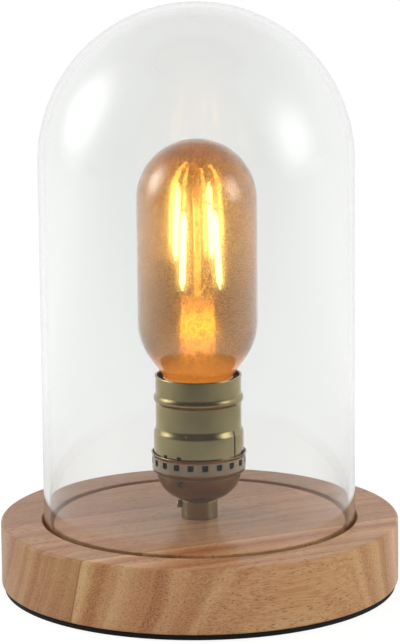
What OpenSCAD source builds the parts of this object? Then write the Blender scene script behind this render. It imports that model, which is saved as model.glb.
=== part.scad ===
// Glass cloche table lamp: a turned wooden base with a ring groove, a lift-off glass dome, and a
// metal-shell lamp holder on a hollow threaded tube, with a screw-in tubular filament lamp.
// Millimetres, +Z up. The origin is the centre of the pad's underside. The front is -Y.

/* [Wooden base] */
// Diameter of the turned wooden base
base_d = 150; // [134:1:200]
// Thickness of the wood, without the pad
base_h = 24.5; // [23:0.5:40]
// Radius of the eased edges of the wood
edge_r = 1.2; // [0.4:0.1:3]
// Diameter of the hollow turned into the underside
recess_d = 60; // [56:1:76]
// Depth of the hollow in the underside
recess_depth = 13; // [12:0.5:14]
// Thickness of the soft pad under the wood
pad_t = 2; // [1:0.5:4]
// How far the pad's edge stands in from the wood's edge
pad_inset = 1; // [0.5:0.5:4]

/* [Groove for the dome] */
// Depth of the groove
groove_depth = 8; // [4:0.5:9]
// Gap between the dome and the outer wall of the groove
groove_outer_gap = 0.75; // [0.4:0.05:1.5]
// Gap between the dome and the inner wall of the groove
groove_inner_gap = 1.55; // [0.4:0.05:3]

/* [Glass dome] */
// Outside diameter of the dome
dome_d = 117.5; // [96:0.5:120]
// Height of the dome from its rim to its top
dome_h = 202.2; // [180:0.2:260]
// Thickness of the dome's glass
dome_wall = 2.2; // [1.6:0.1:4]

/* [Holder metalwork] */
// Thickness of the drawn sheet of the shell and the cap
sheet_t = 0.6; // [0.4:0.1:0.8]
// Diameter of the neck between the base and the cap
neck_d = 13.8; // [12.5:0.1:15]
// Height of the neck
neck_h = 7.1; // [6.5:0.1:12]
// Height of the cap's bowl
bowl_h = 10.7; // [10:0.1:13]
// Radius of the rounded foot of the cap's band
foot_r = 1.8; // [1.5:0.1:2.2]
// Height of the cap's band, with its rounded foot
band_h = 7.8; // [7.4:0.1:11]
// How far the band's upper lip flares out
lip_flare = 0.35; // [0:0.05:0.8]
// Number of square windows round the band
window_count = 20; // [8:2:24]
// Width and height of a window
window_w = 2.3; // [1.2:0.1:3]
// Depth of the windows' centres under the lip
window_drop = 2.9; // [2.4:0.1:3.4]
// Gap between the cap's band and the shell inside it
snap_gap = 0.1; // [0.05:0.05:0.2]
// Height of the shell that shows above the cap
shell_show = 29.4; // [28:0.1:36]
// How far the shell widens at its shoulder
shoulder_out = 0.8; // [0.5:0.1:1.1]
// Depth of the bead's centre under the shell's rim
bead_drop = 8.7; // [6:0.1:12]
// How far the bead stands out of the shell
bead_out = 0.75; // [0.3:0.05:1.2]
// Width of the bead
bead_w = 3.4; // [2:0.1:5]
// Depth of the shoulder under the shell's rim
shoulder_drop = 19.2; // [17:0.1:21]
// Height of the shoulder
shoulder_h = 2.8; // [1:0.1:4]
// Width of the spring slit in the shell
slit_w = 0.55; // [0.3:0.05:1]
// Height of the slit above the cap's lip
slit_h = 9.8; // [6:0.1:14]

/* [Inside the holder] */
// Height of the insulating socket body
body_h = 17.6; // [17:0.1:18.4]
// Gap between the socket body and the sleeve round it
body_gap = 1.5; // [1.3:0.1:1.7]
// Wall of the socket body round its well
well_wall = 4.6; // [4.4:0.1:4.8]
// Thickness of the insulating sleeve
sleeve_t = 0.6; // [0.3:0.1:0.8]
// Gap between the screw shell and the sleeve round it
sleeve_room = 0.85; // [0.7:0.05:1.1]
// Gap between the sleeve and the shell round it
sleeve_gap = 0.2; // [0.1:0.05:0.3]
// Thickness of the brass strip of the contacts
strip_t = 0.5; // [0.3:0.05:0.6]
// Width of the centre contact's strip
strip_w = 5; // [3:0.1:6]
// Radius of the inside of the centre contact's bend
bend_r = 0.25; // [0.2:0.05:0.4]
// Diameter of the terminal screws' heads
terminal_head_d = 4.4; // [3.6:0.1:5]

/* [Screw thread] */
// Distance between turns of the lamp cap's thread
thread_pitch = 3.629; // [3:0.001:4]
// Mean diameter of the lamp cap's thread
thread_d = 25.3; // [25:0.1:25.5]
// Height of the thread's wave above and below its mean
thread_wave = 0.5; // [0.3:0.05:0.6]
// Clearance between the lamp cap's thread and the screw shell
thread_gap = 0.3; // [0.25:0.01:0.35]
// Thickness of the sheet of the screw shell
screw_shell_t = 0.4; // [0.3:0.05:0.45]
// Height of the screw shell
screw_shell_h = 20.2; // [18:0.1:22]

/* [Filament lamp] */
// Outside diameter of the lamp's glass
bulb_d = 45; // [40:0.5:60]
// Height of the lamp's glass above its cap
bulb_h = 90; // [88:0.5:110]
// Thickness of the lamp's glass
bulb_wall = 0.8; // [0.5:0.1:1.2]
// Diameter of the glass neck in the cap
bulb_neck_d = 24.8; // [24.4:0.1:25]
// Slope of the lower shoulder, from upright
shoulder_angle = 36; // [30:1:45]
// Radius of the shoulder's curve
shoulder_r = 24; // [15:0.5:26]
// Length of the lamp's screw cap, with its contact
cap_l = 26.5; // [26:0.1:27.5]
// Thickness of the lamp cap's sheet at its open end
cap_t = 0.5; // [0.3:0.05:0.6]
// Lit length of one filament
filament_l = 26; // [20:0.5:28]
// Diameter of one filament
filament_d = 2.2; // [1.2:0.1:3]
// Distance from the axis to the foot of each filament
filament_r = 10; // [8:0.1:12]
// How far each filament leans in over its length
filament_lean = 1.7; // [0:0.1:3]
// Height of the front filaments' feet above the cap
filament_foot = 34.9; // [33.5:0.1:37]
// How much higher the back filaments stand
filament_step = 8.6; // [0:0.1:10]
// Length of the bare tab at each end of a filament
filament_tab = 1.5; // [0.5:0.1:3]
// Diameter of the lamp's inner wires
wire_d = 0.7; // [0.4:0.05:1]
// Diameter of the glass stem's tube
stem_d = 13.2; // [11:0.1:15]
// Diameter of the glass rod on the stem
rod_d = 2.6; // [1.6:0.1:4]
// Height of the rod's head above the cap
rod_top = 68.3; // [64:0.1:72]

/* [Tube and fastenings] */
// Outside diameter of the hollow threaded tube
tube_d = 9.9; // [9:0.1:10.4]
// Bore of the hollow threaded tube
tube_bore = 7.2; // [6.4:0.1:7.6]
// How far the tube reaches into the cap
tube_reach = 3.2; // [1.5:0.1:3.6]
// Gap round the tube in the wood
tube_gap = 0.25; // [0.1:0.05:0.6]
// Diameter of the washer under the wood
washer_d = 21; // [16:0.5:24]
// Thickness of the washer
washer_t = 1.2; // [0.8:0.1:2]
// Width of the nut across its flats
nut_w = 14; // [12.5:0.5:16]
// Thickness of the nut
nut_h = 3.5; // [2.5:0.1:4]
// Length of the tube below the nut
tube_tail = 1.3; // [0.5:0.1:1.6]
// Gap of a screw in its hole
screw_gap = 0.1; // [0.05:0.05:0.2]
// Diameter of the neck's set screw
set_screw_d = 3; // [2:0.1:3.4]
// Diameter of the screw that shows in the cap's bowl
cap_screw_d = 2.3; // [1.6:0.1:2.6]

/* [Wiring] */
// Bore of the cord inlet bush
inlet_bore = 5.8; // [5:0.1:6]
// Wall of the inlet bush
inlet_wall = 1; // [0.8:0.1:1.1]
// Length of the inlet bush behind its flange
inlet_l = 12.5; // [8:0.5:16]
// Thickness of the inlet bush's flange
inlet_flange_t = 2; // [1:0.1:2.4]
// Diameter of the inlet bush's flange
inlet_flange_d = 11; // [9.5:0.1:12]
// Height of the inlet's axis above the underside of the wood
inlet_z = 8; // [7.5:0.1:9]
// Diameter of a single insulated lead
lead_d = 2; // [1.4:0.1:2.2]
// Width of the terminal block
block_w = 18; // [17:0.5:22]
// Depth of the terminal block
block_l = 11; // [10:0.5:12]
// Height of the terminal block
block_h = 9.7; // [9:0.1:10.5]

/* [Hidden] */

$fn = 96;
// A little more than a cut needs, so that it breaks the surface
over = 1;
// Gap between parts that are drawn up face to face or pressed together
seat = 0.05;
// Steps of a drawn arc
arc_steps = 12;

base_r = base_d / 2;
deck_z = pad_t + base_h;
recess_z = pad_t + recess_depth;
groove_z = deck_z - groove_depth;
groove_in_r = dome_d / 2 - dome_wall - groove_inner_gap;
groove_out_r = dome_d / 2 + groove_outer_gap;

// The dome stands a little above the groove's floor, and its rim is fire-rounded
rim_gap = 0.3;
dome_r = dome_d / 2;
dome_rim_z = groove_z + rim_gap;
dome_crown_z = dome_rim_z + dome_h - dome_r;

// Radii of the holder, from the screw shell's thread out to the cap's band
thread_r = thread_d / 2;
screw_r = thread_r + thread_gap;
sleeve_in_r = screw_r + thread_wave + screw_shell_t + sleeve_room;
sleeve_r = sleeve_in_r + sleeve_t;
shell_r = sleeve_r + sleeve_gap + sheet_t;
skirt_r = shell_r + shoulder_out;
band_r = skirt_r + snap_gap + sheet_t;
bowl_r = band_r - foot_r;
body_r = sleeve_in_r - body_gap;

// Heights of the holder, from the wood up
neck_r = neck_d / 2;
neck_top = deck_z + neck_h;
neck_round = 0.3;
spigot_r = tube_d / 2 + 1.05;
spigot_h = 2.4;
band_z = neck_top + bowl_h;
lip_z = band_z + band_h;
rim_z = lip_z + shell_show;
lip_h = 1.1;
// The bowl is part of an ellipse that passes through the neck's edge and the band's foot
bowl_depth = bowl_h / sqrt(1 - pow(neck_r / bowl_r, 2));

// The shell's lower edge comes down to the rounded inside of the band's foot
shell_z = band_z + foot_r - sqrt(pow(foot_r - sheet_t, 2) - pow(skirt_r - bowl_r, 2)) + seat;
rim_roll = 0.3;
sleeve_drop = 2;
sleeve_z = band_z + sheet_t;
sleeve_top = rim_z - sleeve_drop;

// Angles round the holder, from +X; the front is at -90
slit_angle = -37.6;
slit_point = 2;
window_angle = -82.4;
notch_angles = [-137.7, -116.3];
notch_w = 1.8;
notch_h = 1.1;
cap_screw_angle = -115.9;
cap_screw_drop = 2;
cap_screw_back = 1;
cap_screw_sink = 0.5;
set_screw_angle = 180;

// Width and depth of the slots in the screws' heads
slot_t = 0.6;
slot_depth = 0.7;

// The socket body seats where the bowl is as wide as it is
body_z = band_z - (bowl_depth - sheet_t) * sqrt(1 - pow(body_r / (bowl_r - sheet_t), 2)) + seat;
body_top = body_z + body_h;
well_r = body_r - well_wall;
well_depth = 4.3;
well_z = body_top - well_depth;
cavity_h = 7;
flat_x = body_r - 1.2;
pocket_w = 8;
port_w = lead_d + 1.2;
terminal_w = 7;
terminal_drop = 3.5;
terminal_tail = 3.8;
terminal_z = well_z - terminal_drop;
terminal_foot = terminal_z - terminal_tail;
// How far the live terminal reaches in under the fold of the centre contact
terminal_lap = 4;
terminal_head_h = 1.4;
terminal_screw_d = 3;
terminal_screw_l = 5;
rivet_r = flat_x - 1.3;
rivet_d = 1.8;
rivet_head_d = 2.4;
rivet_head_h = 0.7;
rivet_l = 4;
rivet_angles = [60, 180, 300];

// Centre contact: a strip folded back over itself, whose free leaf the lamp presses down
fold_back = 2;
fold_x = well_r - fold_back;
fold_z = well_z + strip_t + bend_r;
contact_top = well_z + 2 * (strip_t + bend_r);
foot_back = 2;
tongue_tip = 2.5;
tongue_gap = 0.3;

// The lamp, screwed right in
tip_gap = 0.3;
tip_z = contact_top + tip_gap;
cap_top = tip_z + cap_l;
tip_h = 1.2;
tip_r = 4.8;
tip_pin_r = 1.5;
tip_pin_h = 2;
pin_gap = 0.05;
tip_seat = 0.1;
insulator_h = 4.4;
cap_z = tip_z + tip_h + tip_seat + insulator_h;
cap_neck_l = 4.7;
insulator_plug = 1.2;
insulator_edge = 0.3;
thread_top = cap_top - cap_neck_l;
thread_rows = 6;
thread_sides = 24;
cap_round = 0.3;
cap_bore_r = thread_r - thread_wave - cap_t;
cap_mouth_r = (bulb_neck_d / 2 + 2 * seat) / cos(180 / thread_sides);

screw_z = body_top;
screw_top = screw_z + screw_shell_h;
flange_back = 0.4;
screw_flange_r = well_r + flange_back;
screw_flare = 0.15;
screw_lip_h = 1;

bulb_r = bulb_d / 2;
bulb_neck_r = bulb_neck_d / 2;
bulb_neck_l = 4;
bulb_top = cap_top + bulb_h;
bulb_crown_z = bulb_top - bulb_r;
cone_h = (bulb_r - shoulder_r * (1 - cos(shoulder_angle)) - bulb_neck_r) / tan(shoulder_angle);
bulb_shoulder_z = cap_top + cone_h + shoulder_r * sin(shoulder_angle);

stem_r = stem_d / 2;
stem_wall = 0.9;
stem_gap = 0.1;
stem_sink = 2.5;
stem_flare_h = 8;
stem_h = 23;
stem_foot_z = cap_top - stem_sink;
stem_neck_z = cap_top + stem_flare_h;
stem_top = cap_top + stem_h;
press_w = 12;
press_t = 3.6;
press_h = 8;
press_z = stem_top + seat;
rod_z = press_z + press_h + seat;
rod_r = rod_d / 2;
rod_head_r = rod_r + 0.5;
rod_head_h = 2.2;

filament_turn = 56;
filament_body_r = filament_d / 2;
filament_total = filament_l + 2 * filament_tab;
filament_tilt = asin(filament_lean / filament_total);
wire_r = wire_d / 2;
wire_gap = 0.15;
wire_root_r = 2.8;
wire_hook = 2;

board_w = 9;
board_t = 1;
board_z = cap_z + insulator_plug + seat;
board_top = cap_top + 3.4;
chip_w = 6.4;
chip_h = 3.9;
chip_t = 3.2;
chip_x = 0.6;
chip_edge = 0.3;
coil_r = 3.2;
coil_h = 8;
coil_lift = 2;

// Tube, washer and nut
tube_r = tube_d / 2;
tube_top = neck_top + tube_reach;
washer_z = recess_z - washer_t;
nut_z = washer_z - nut_h;
tube_z = nut_z - tube_tail;
set_screw_z = deck_z + neck_h * 0.7;
set_screw_out = 1.5;

// Wiring in the base
cord_z = pad_t + inlet_z;
inlet_r = inlet_bore / 2;
inlet_out_r = inlet_r + inlet_wall;
flange_r = inlet_flange_d / 2;
flange_sink = 4.5;
flange_y = base_r - flange_sink;
channel_r = inlet_out_r + screw_gap;
block_gap_y = 13.5;
block_y = -block_gap_y - block_l / 2;
block_z = recess_z - block_h;
insert_x = 4.2;
insert_z = block_z + 2.7;
insert_r = 2.1;
insert_bore = 1.3;
insert_gap = 0.1;
block_screw_r = 1.1;
block_screw_y = 2.6;
wood_screw_r = 1.6;
wood_head_r = 1.9;
wood_head_h = 1.25;
wood_screw_l = 7.5;
// How deep the block's screws lie in it
screw_sink = 0.2;
lead_r = lead_d / 2;
lead_x = 1.6;
lead_turn_z = tube_z - 2.6;
lead_cavity_z = body_z + 2.8;
lead_top_x = flat_x + 0.3;
lead_start_y = block_y + 1;
lead_leave_y = 3.5;
lead_swing = [3, -4];
lead_rise = 5;

// Corners of a lead's route, from the terminal block to its terminal; side is 1 or -1
function lead_corners(side) = [
    [side * insert_x, lead_start_y, insert_z],
    [side * insert_x, lead_leave_y - block_gap_y, insert_z],
    [side * lead_swing[0], lead_swing[1], lead_turn_z],
    [side * lead_x, 0, lead_turn_z],
    [side * lead_x, 0, tube_z + lead_rise],
    [side * lead_x, 0, tube_top],
    [side * lead_x, 0, lead_cavity_z],
    [side * lead_top_x, 0, lead_cavity_z],
    [side * lead_top_x, 0, terminal_foot - seat]
];

// Points of an arc in a profile, as [radius, height]
function arc(cx, cz, r, a0, a1) = [
    for (i = [0:arc_steps])
        let (a = a0 + (a1 - a0) * i / arc_steps)
            [cx + r * cos(a), cz + r * sin(a)]
];

// Quarter of an ellipse that opens upwards, from radius r0 out to the full radius
function bowl(r, depth, z, r0) = [
    for (i = [0:arc_steps])
        let (a0 = acos(r0 / r), a = a0 * (1 - i / arc_steps))
            [r * cos(a), z - depth * sin(a)]
];

// Shell radius at a depth under its rim: straight, with a bead and a shoulder
function shell_bead(d) = abs(d - bead_drop) < bead_w / 2
    ? bead_out * (1 + cos(360 * (d - bead_drop) / bead_w)) / 2 : 0;
function shell_step(d) =
    let (t = min(1, max(0, (d - shoulder_drop) / shoulder_h)))
        (skirt_r - shell_r) * (1 - cos(180 * t)) / 2;
function shell_radius(d) = shell_r + shell_bead(d) + shell_step(d);

// Depths at which the shell's profile has a point
function shell_depths() = concat(
    [rim_roll, 2 * rim_roll],
    [for (i = [0:arc_steps]) bead_drop + bead_w * (i / arc_steps - 0.5)],
    [for (i = [0:arc_steps]) shoulder_drop + shoulder_h * i / arc_steps],
    [rim_z - shell_z]
);
function reversed(v) = [for (i = [len(v) - 1:-1:0]) v[i]];
function at(r, a, z) = [r * cos(a), r * sin(a), z];
function unit(v) = v / norm(v);

function between(a, b, share) = a + (b - a) * share;

// A route with each corner cut once, a quarter of the way along its two sides
function eased(p) = concat(
    [p[0]],
    [for (i = [0:len(p) - 2], share = [0.25, 0.75]) between(p[i], p[i + 1], share)],
    [p[len(p) - 1]]
);
function tangent(p, i) = unit(p[min(i + 1, len(p) - 1)] - p[max(i - 1, 0)]);
function across(n, t) = unit(n - (n * t) * t);
function sideways(t) = abs(t[1]) < 0.9 ? across([0, 1, 0], t) : across([1, 0, 0], t);
function carried(p, n, i = 0) =
    let (m = across(n, tangent(p, i)))
        i == len(p) - 1 ? [m] : concat([m], carried(p, m, i + 1));

// Ends of filament i: its lower tab's foot and its upper tab's top
function filament_angle(i) = filament_turn + 90 * i;
function filament_z(i) = cap_top + filament_foot + (i < 2 ? filament_step : 0);
function filament_low(i) = at(filament_r, filament_angle(i), filament_z(i));
function filament_high(i) = at(
    filament_r - filament_total * sin(filament_tilt),
    filament_angle(i),
    filament_z(i) + filament_total * cos(filament_tilt)
);

// Sweeps a round section along a route
module swept(p, r, sides) {
    n = carried(p, sideways(tangent(p, 0)));
    count = len(p);
    points = [
        for (i = [0:count - 1])
            let (t = tangent(p, i), b = cross(t, n[i]))
                for (k = [0:sides - 1])
                    p[i] + r * (cos(360 * k / sides) * n[i] + sin(360 * k / sides) * b)
    ];
    walls = [
        for (i = [0:count - 2], k = [0:sides - 1])
            let (a = i * sides + k, b = i * sides + (k + 1) % sides)
                each [[a, a + sides, b + sides], [a, b + sides, b]]
    ];
    start = [for (k = [0:sides - 1]) k];
    end = [for (k = [sides - 1:-1:0]) (count - 1) * sides + k];
    polyhedron(points, concat(walls, [start, end]));
}

// A sleeve from an outer and an inner list of rows [height, mean radius, wave], lowest first.
// The wave follows the screw thread's helix, which is right-handed.
module waved_sleeve(outer, inner) {
    sides = thread_sides;
    rows = concat(outer, inner);
    lower = len(outer);
    last = len(rows) - 1;
    points = [
        for (row = rows, k = [0:sides - 1])
            let (a = 360 * k / sides, r = row[1] + row[2] * cos(360 * row[0] / thread_pitch - a))
                [r * cos(a), r * sin(a), row[0]]
    ];
    function facing(i, j, k) =
        let (m = (k + 1) % sides, a = i * sides, b = j * sides)
            [[a + k, b + k, b + m], [a + k, b + m, a + m]];
    outside = [for (i = [0:lower - 2], k = [0:sides - 1]) each facing(i, i + 1, k)];
    inside = [for (i = [lower:last - 1], k = [0:sides - 1]) each facing(i + 1, i, k)];
    bottom = [for (k = [0:sides - 1]) each facing(lower, 0, k)];
    top = [for (k = [0:sides - 1]) each facing(lower - 1, last, k)];
    polyhedron(points, concat(outside, inside, bottom, top));
}

// Rows of a threaded stretch, whose wave fades in and out over half a turn. There the ends widen
// where widen is 1 and narrow where it is -1, so that the other thread passes them.
function threaded(z0, z1, r, widen) =
    let (count = ceil((z1 - z0) / thread_pitch * thread_rows))
        [
            for (i = [0:count])
                let (
                    z = z0 + (z1 - z0) * i / count,
                    fade = min(1, min(z - z0, z1 - z) / (thread_pitch / 2))
                )
                    [z, r + widen * thread_wave * (1 - fade), thread_wave * fade]
        ];

// A ring with a square section
module ring(r_out, r_in, z, h) {
    translate([0, 0, z])
        difference() {
            cylinder(r = r_out, h = h);
            translate([0, 0, -over]) cylinder(r = r_in, h = h + 2 * over);
        }
}

// Something placed at a radius and an angle, with its own +Z pointing outwards
module outwards(a, r, z) {
    rotate([0, 0, a]) translate([r, 0, z]) rotate([0, 90, 0]) children();
}

module wood_base() {
    color([0.84, 0.68, 0.5])
        difference() {
            rotate_extrude()
                polygon(concat(
                    [[0, pad_t]],
                    arc(base_r - edge_r, pad_t + edge_r, edge_r, -90, 0),
                    arc(base_r - edge_r, deck_z - edge_r, edge_r, 0, 90),
                    [[0, deck_z]]
                ));
            rotate_extrude()
                translate([groove_in_r, groove_z])
                    square([groove_out_r - groove_in_r, groove_depth + over]);
            translate([0, 0, pad_t - over]) cylinder(d = recess_d, h = recess_depth + over);
            cylinder(r = tube_r + tube_gap, h = deck_z + over);
            translate([0, 0, cord_z]) rotate([-90, 0, 0]) {
                cylinder(r = channel_r, h = base_r);
                translate([0, 0, flange_y]) cylinder(r = flange_r + screw_gap, h = base_r);
            }
            translate([0, block_y, recess_z - over])
                cylinder(r = wood_screw_r + screw_gap, h = wood_screw_l + 2 * over);
        }
}

module base_pad() {
    color([0.07, 0.07, 0.07]) cylinder(r = base_r - pad_inset, h = pad_t);
}

module cord_inlet_bush() {
    color([0.1, 0.1, 0.1])
        translate([0, 0, cord_z]) rotate([-90, 0, 0])
            difference() {
                union() {
                    translate([0, 0, flange_y - inlet_l]) cylinder(r = inlet_out_r, h = inlet_l);
                    translate([0, 0, flange_y]) cylinder(r = flange_r, h = inlet_flange_t);
                }
                translate([0, 0, flange_y - inlet_l - over])
                    cylinder(r = inlet_r, h = inlet_l + inlet_flange_t + 2 * over);
            }
}

// The fine thread is left plain: it is hidden in the wood, the nut and the neck
module threaded_tube() {
    color([0.75, 0.75, 0.72]) ring(tube_r, tube_bore / 2, tube_z, tube_top - tube_z);
}

module tube_washer() {
    color([0.75, 0.75, 0.72]) ring(washer_d / 2, tube_r + seat, washer_z, washer_t);
}

module tube_nut() {
    color([0.75, 0.75, 0.72])
        difference() {
            translate([0, 0, nut_z]) cylinder(r = nut_w / 2 / cos(30), h = nut_h, $fn = 6);
            translate([0, 0, nut_z - over]) cylinder(r = tube_r + seat, h = nut_h + 2 * over);
        }
}

module holder_neck() {
    color([0.62, 0.54, 0.36])
        difference() {
            rotate_extrude()
                polygon([
                    [tube_r + seat, deck_z],
                    [neck_r - neck_round, deck_z],
                    [neck_r, deck_z + neck_round],
                    [neck_r, neck_top],
                    [spigot_r, neck_top],
                    [spigot_r, neck_top + spigot_h],
                    [tube_r + seat, neck_top + spigot_h]
                ]);
            outwards(set_screw_angle, 0, set_screw_z) cylinder(d = set_screw_d + screw_gap, h = neck_d);
        }
}

module neck_set_screw() {
    color([0.5, 0.44, 0.3])
        outwards(set_screw_angle, tube_r + 2 * seat, set_screw_z)
            difference() {
                cylinder(d = set_screw_d, h = neck_r - tube_r + set_screw_out);
                translate([-set_screw_d, -slot_t / 2, neck_r - tube_r + set_screw_out - slot_depth])
                    cube([2 * set_screw_d, slot_t, over]);
            }
}

module holder_cap() {
    inner_r = bowl_r - sheet_t;
    inner_depth = bowl_depth - sheet_t;
    lip = lip_z - lip_h;
    color([0.5, 0.45, 0.33])
        difference() {
            rotate_extrude()
                polygon(concat(
                    [[spigot_r + seat, neck_top]],
                    bowl(bowl_r, bowl_depth, band_z, neck_r),
                    arc(bowl_r, band_z + foot_r, foot_r, -90, 0),
                    [[band_r, lip], [band_r + lip_flare, lip_z], [band_r + lip_flare - sheet_t, lip_z]],
                    [[band_r - sheet_t, lip]],
                    arc(bowl_r, band_z + foot_r, foot_r - sheet_t, 0, -90),
                    reversed(bowl(inner_r, inner_depth, band_z, neck_r)),
                    [[spigot_r + seat, neck_top + sheet_t]]
                ));
            for (i = [0:window_count - 1])
                outwards(window_angle + 360 * i / window_count, bowl_r, lip_z - window_drop)
                    translate([-window_w / 2, -window_w / 2, 0]) cube([window_w, window_w, foot_r + over]);
            outwards(cap_screw_angle, body_r, band_z - cap_screw_drop)
                cylinder(d = cap_screw_d + screw_gap, h = band_r);
        }
}

module cap_screw() {
    start_r = well_r + cap_screw_back;
    end_r = bowl_r - cap_screw_sink;
    color([0.8, 0.76, 0.6])
        outwards(cap_screw_angle, start_r, band_z - cap_screw_drop)
            difference() {
                cylinder(d = cap_screw_d, h = end_r - start_r);
                translate([-cap_screw_d, -slot_t / 2, end_r - start_r - slot_depth])
                    cube([2 * cap_screw_d, slot_t, over]);
            }
}

module holder_shell() {
    depths = shell_depths();
    color([0.58, 0.53, 0.38])
        difference() {
            rotate_extrude()
                polygon(concat(
                    [[shell_r + rim_roll / 2, rim_z], [shell_r + rim_roll, rim_z - rim_roll]],
                    [for (d = depths) [shell_radius(d), rim_z - d]],
                    [for (d = reversed(depths)) [shell_radius(d) - sheet_t, rim_z - d]],
                    [[shell_r - sheet_t, rim_z]]
                ));
            outwards(slit_angle, sleeve_r, lip_z)
                linear_extrude(2 * foot_r)
                    polygon([
                        [band_h, -slit_w / 2],
                        [slit_point - slit_h, -slit_w / 2],
                        [-slit_h, -slit_w / 8],
                        [-slit_h, slit_w / 8],
                        [slit_point - slit_h, slit_w / 2],
                        [band_h, slit_w / 2]
                    ]);
            for (third = [0:120:240], a = notch_angles)
                outwards(a + third, sleeve_r, lip_z)
                    translate([-notch_h, -notch_w / 2, 0]) cube([band_h, notch_w, 2 * foot_r]);
        }
}

module insulating_sleeve() {
    color([0.2, 0.18, 0.15]) ring(sleeve_r, sleeve_r - sleeve_t, sleeve_z, sleeve_top - sleeve_z);
}

module screw_shell() {
    t = screw_shell_t;
    z0 = screw_z + 2 * t;
    z1 = screw_top - screw_lip_h;
    mouth_r = screw_r + thread_wave + screw_flare;
    color([0.78, 0.66, 0.38])
        difference() {
            waved_sleeve(
                concat([[screw_z, screw_r + t, 0]], threaded(z0, z1, screw_r + t, 1),
                    [[screw_top, mouth_r + t, 0]]),
                concat([[screw_z, screw_flange_r, 0], [screw_z + t, screw_flange_r, 0]],
                    [[screw_z + t, screw_r, 0]], threaded(z0, z1, screw_r, 1),
                    [[screw_top, mouth_r, 0]])
            );
            for (a = rivet_angles)
                rotate([0, 0, a])
                    translate([rivet_r, 0, screw_z - over])
                        cylinder(r = rivet_d / 2 + 2 * screw_gap, h = 2 * over, $fn = 8);
        }
}

module socket_body() {
    color([0.16, 0.1, 0.07])
        difference() {
            translate([0, 0, body_z]) cylinder(r = body_r, h = body_h);
            translate([0, 0, well_z]) cylinder(r = well_r, h = well_depth + over);
            translate([0, 0, body_z - over]) cylinder(r = well_r, h = cavity_h + over);
            for (side = [0, 180]) rotate([0, 0, side]) {
                translate([flat_x, -pocket_w / 2, body_z - over])
                    cube([body_r, pocket_w, body_h + 2 * over]);
                translate([0, -port_w / 2, body_z - over])
                    cube([body_r, port_w, terminal_foot - body_z + over]);
                translate([flat_x - terminal_screw_l - over, 0, terminal_z]) rotate([0, 90, 0])
                    cylinder(d = terminal_screw_d + screw_gap, h = body_r);
            }
            translate([0, -terminal_w / 2 - seat, well_z - strip_t - seat])
                cube([body_r, terminal_w + 2 * seat, strip_t + 2 * seat]);
            translate([-body_r, -terminal_w / 2 - seat, body_top - strip_t - seat])
                cube([body_r - well_r + over, terminal_w + 2 * seat, strip_t + over]);
            for (a = rivet_angles)
                rotate([0, 0, a])
                    translate([rivet_r, 0, body_top - rivet_l])
                        cylinder(d = rivet_d + screw_gap, h = rivet_l + over);
            outwards(cap_screw_angle, 0, band_z - cap_screw_drop)
                cylinder(d = cap_screw_d + screw_gap, h = 2 * body_r);
        }
}

module shell_rivets() {
    color([0.8, 0.7, 0.45])
        for (a = rivet_angles)
            rotate([0, 0, a])
                translate([rivet_r, 0, body_top - rivet_l + seat]) {
                    cylinder(d = rivet_d, h = rivet_l + screw_shell_t);
                    translate([0, 0, rivet_l + screw_shell_t])
                        cylinder(d = rivet_head_d, h = rivet_head_h);
                }
}

module contact_foot() {
    bend_out = strip_t + bend_r;
    color([0.85, 0.72, 0.42])
        translate([0, strip_w / 2, 0]) rotate([90, 0, 0]) linear_extrude(strip_w) {
            translate([-foot_back, well_z]) square([foot_back + fold_x, strip_t]);
            translate([fold_x, fold_z])
                intersection() {
                    difference() {
                        circle(bend_out);
                        circle(bend_r);
                    }
                    translate([0, -bend_out]) square([bend_out, 2 * bend_out]);
                }
        }
}

module contact_tongue() {
    color([0.85, 0.72, 0.42])
        translate([-tongue_tip, -strip_w / 2, contact_top - strip_t])
            cube([tongue_tip + fold_x - tongue_gap, strip_w, strip_t]);
}

module live_terminal() {
    color([0.8, 0.68, 0.4])
        difference() {
            translate([0, -terminal_w / 2, 0]) {
                translate([flat_x + seat, 0, terminal_foot])
                    cube([strip_t, terminal_w, well_z - terminal_foot]);
                translate([fold_x - terminal_lap, 0, well_z - strip_t])
                    cube([flat_x + seat + strip_t - fold_x + terminal_lap, terminal_w, strip_t]);
            }
            translate([0, 0, terminal_z]) rotate([0, 90, 0])
                cylinder(d = terminal_screw_d + screw_gap, h = 2 * body_r);
        }
}

module neutral_terminal() {
    x = -flat_x - seat - strip_t;
    color([0.8, 0.68, 0.4])
        difference() {
            translate([x, -terminal_w / 2, 0]) {
                translate([0, 0, terminal_foot]) cube([strip_t, terminal_w, body_top - terminal_foot]);
                translate([0, 0, body_top - strip_t])
                    cube([flat_x + strip_t - screw_flange_r, terminal_w, strip_t]);
            }
            translate([0, 0, terminal_z]) rotate([0, -90, 0])
                cylinder(d = terminal_screw_d + screw_gap, h = 2 * body_r);
            rotate([0, 0, 180]) translate([rivet_r, 0, body_top - 2 * strip_t])
                cylinder(d = rivet_d + screw_gap, h = 3 * strip_t);
        }
}

module terminal_screws() {
    face = flat_x + 2 * seat + strip_t;
    color([0.82, 0.78, 0.68])
        for (side = [0, 180])
            outwards(side, face - terminal_screw_l, terminal_z)
                difference() {
                    union() {
                        cylinder(d = terminal_screw_d, h = terminal_screw_l);
                        translate([0, 0, terminal_screw_l])
                            cylinder(d = terminal_head_d, h = terminal_head_h);
                    }
                    translate([
                        -terminal_head_d,
                        -slot_t / 2,
                        terminal_screw_l + terminal_head_h - slot_depth
                    ])
                        cube([2 * terminal_head_d, slot_t, over]);
                }
}

module lead(side) {
    swept(eased(lead_corners(side)), lead_r, 8);
}

module live_lead() {
    color([0.45, 0.26, 0.14]) lead(1);
}

module neutral_lead() {
    color([0.2, 0.35, 0.6]) lead(-1);
}

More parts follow.
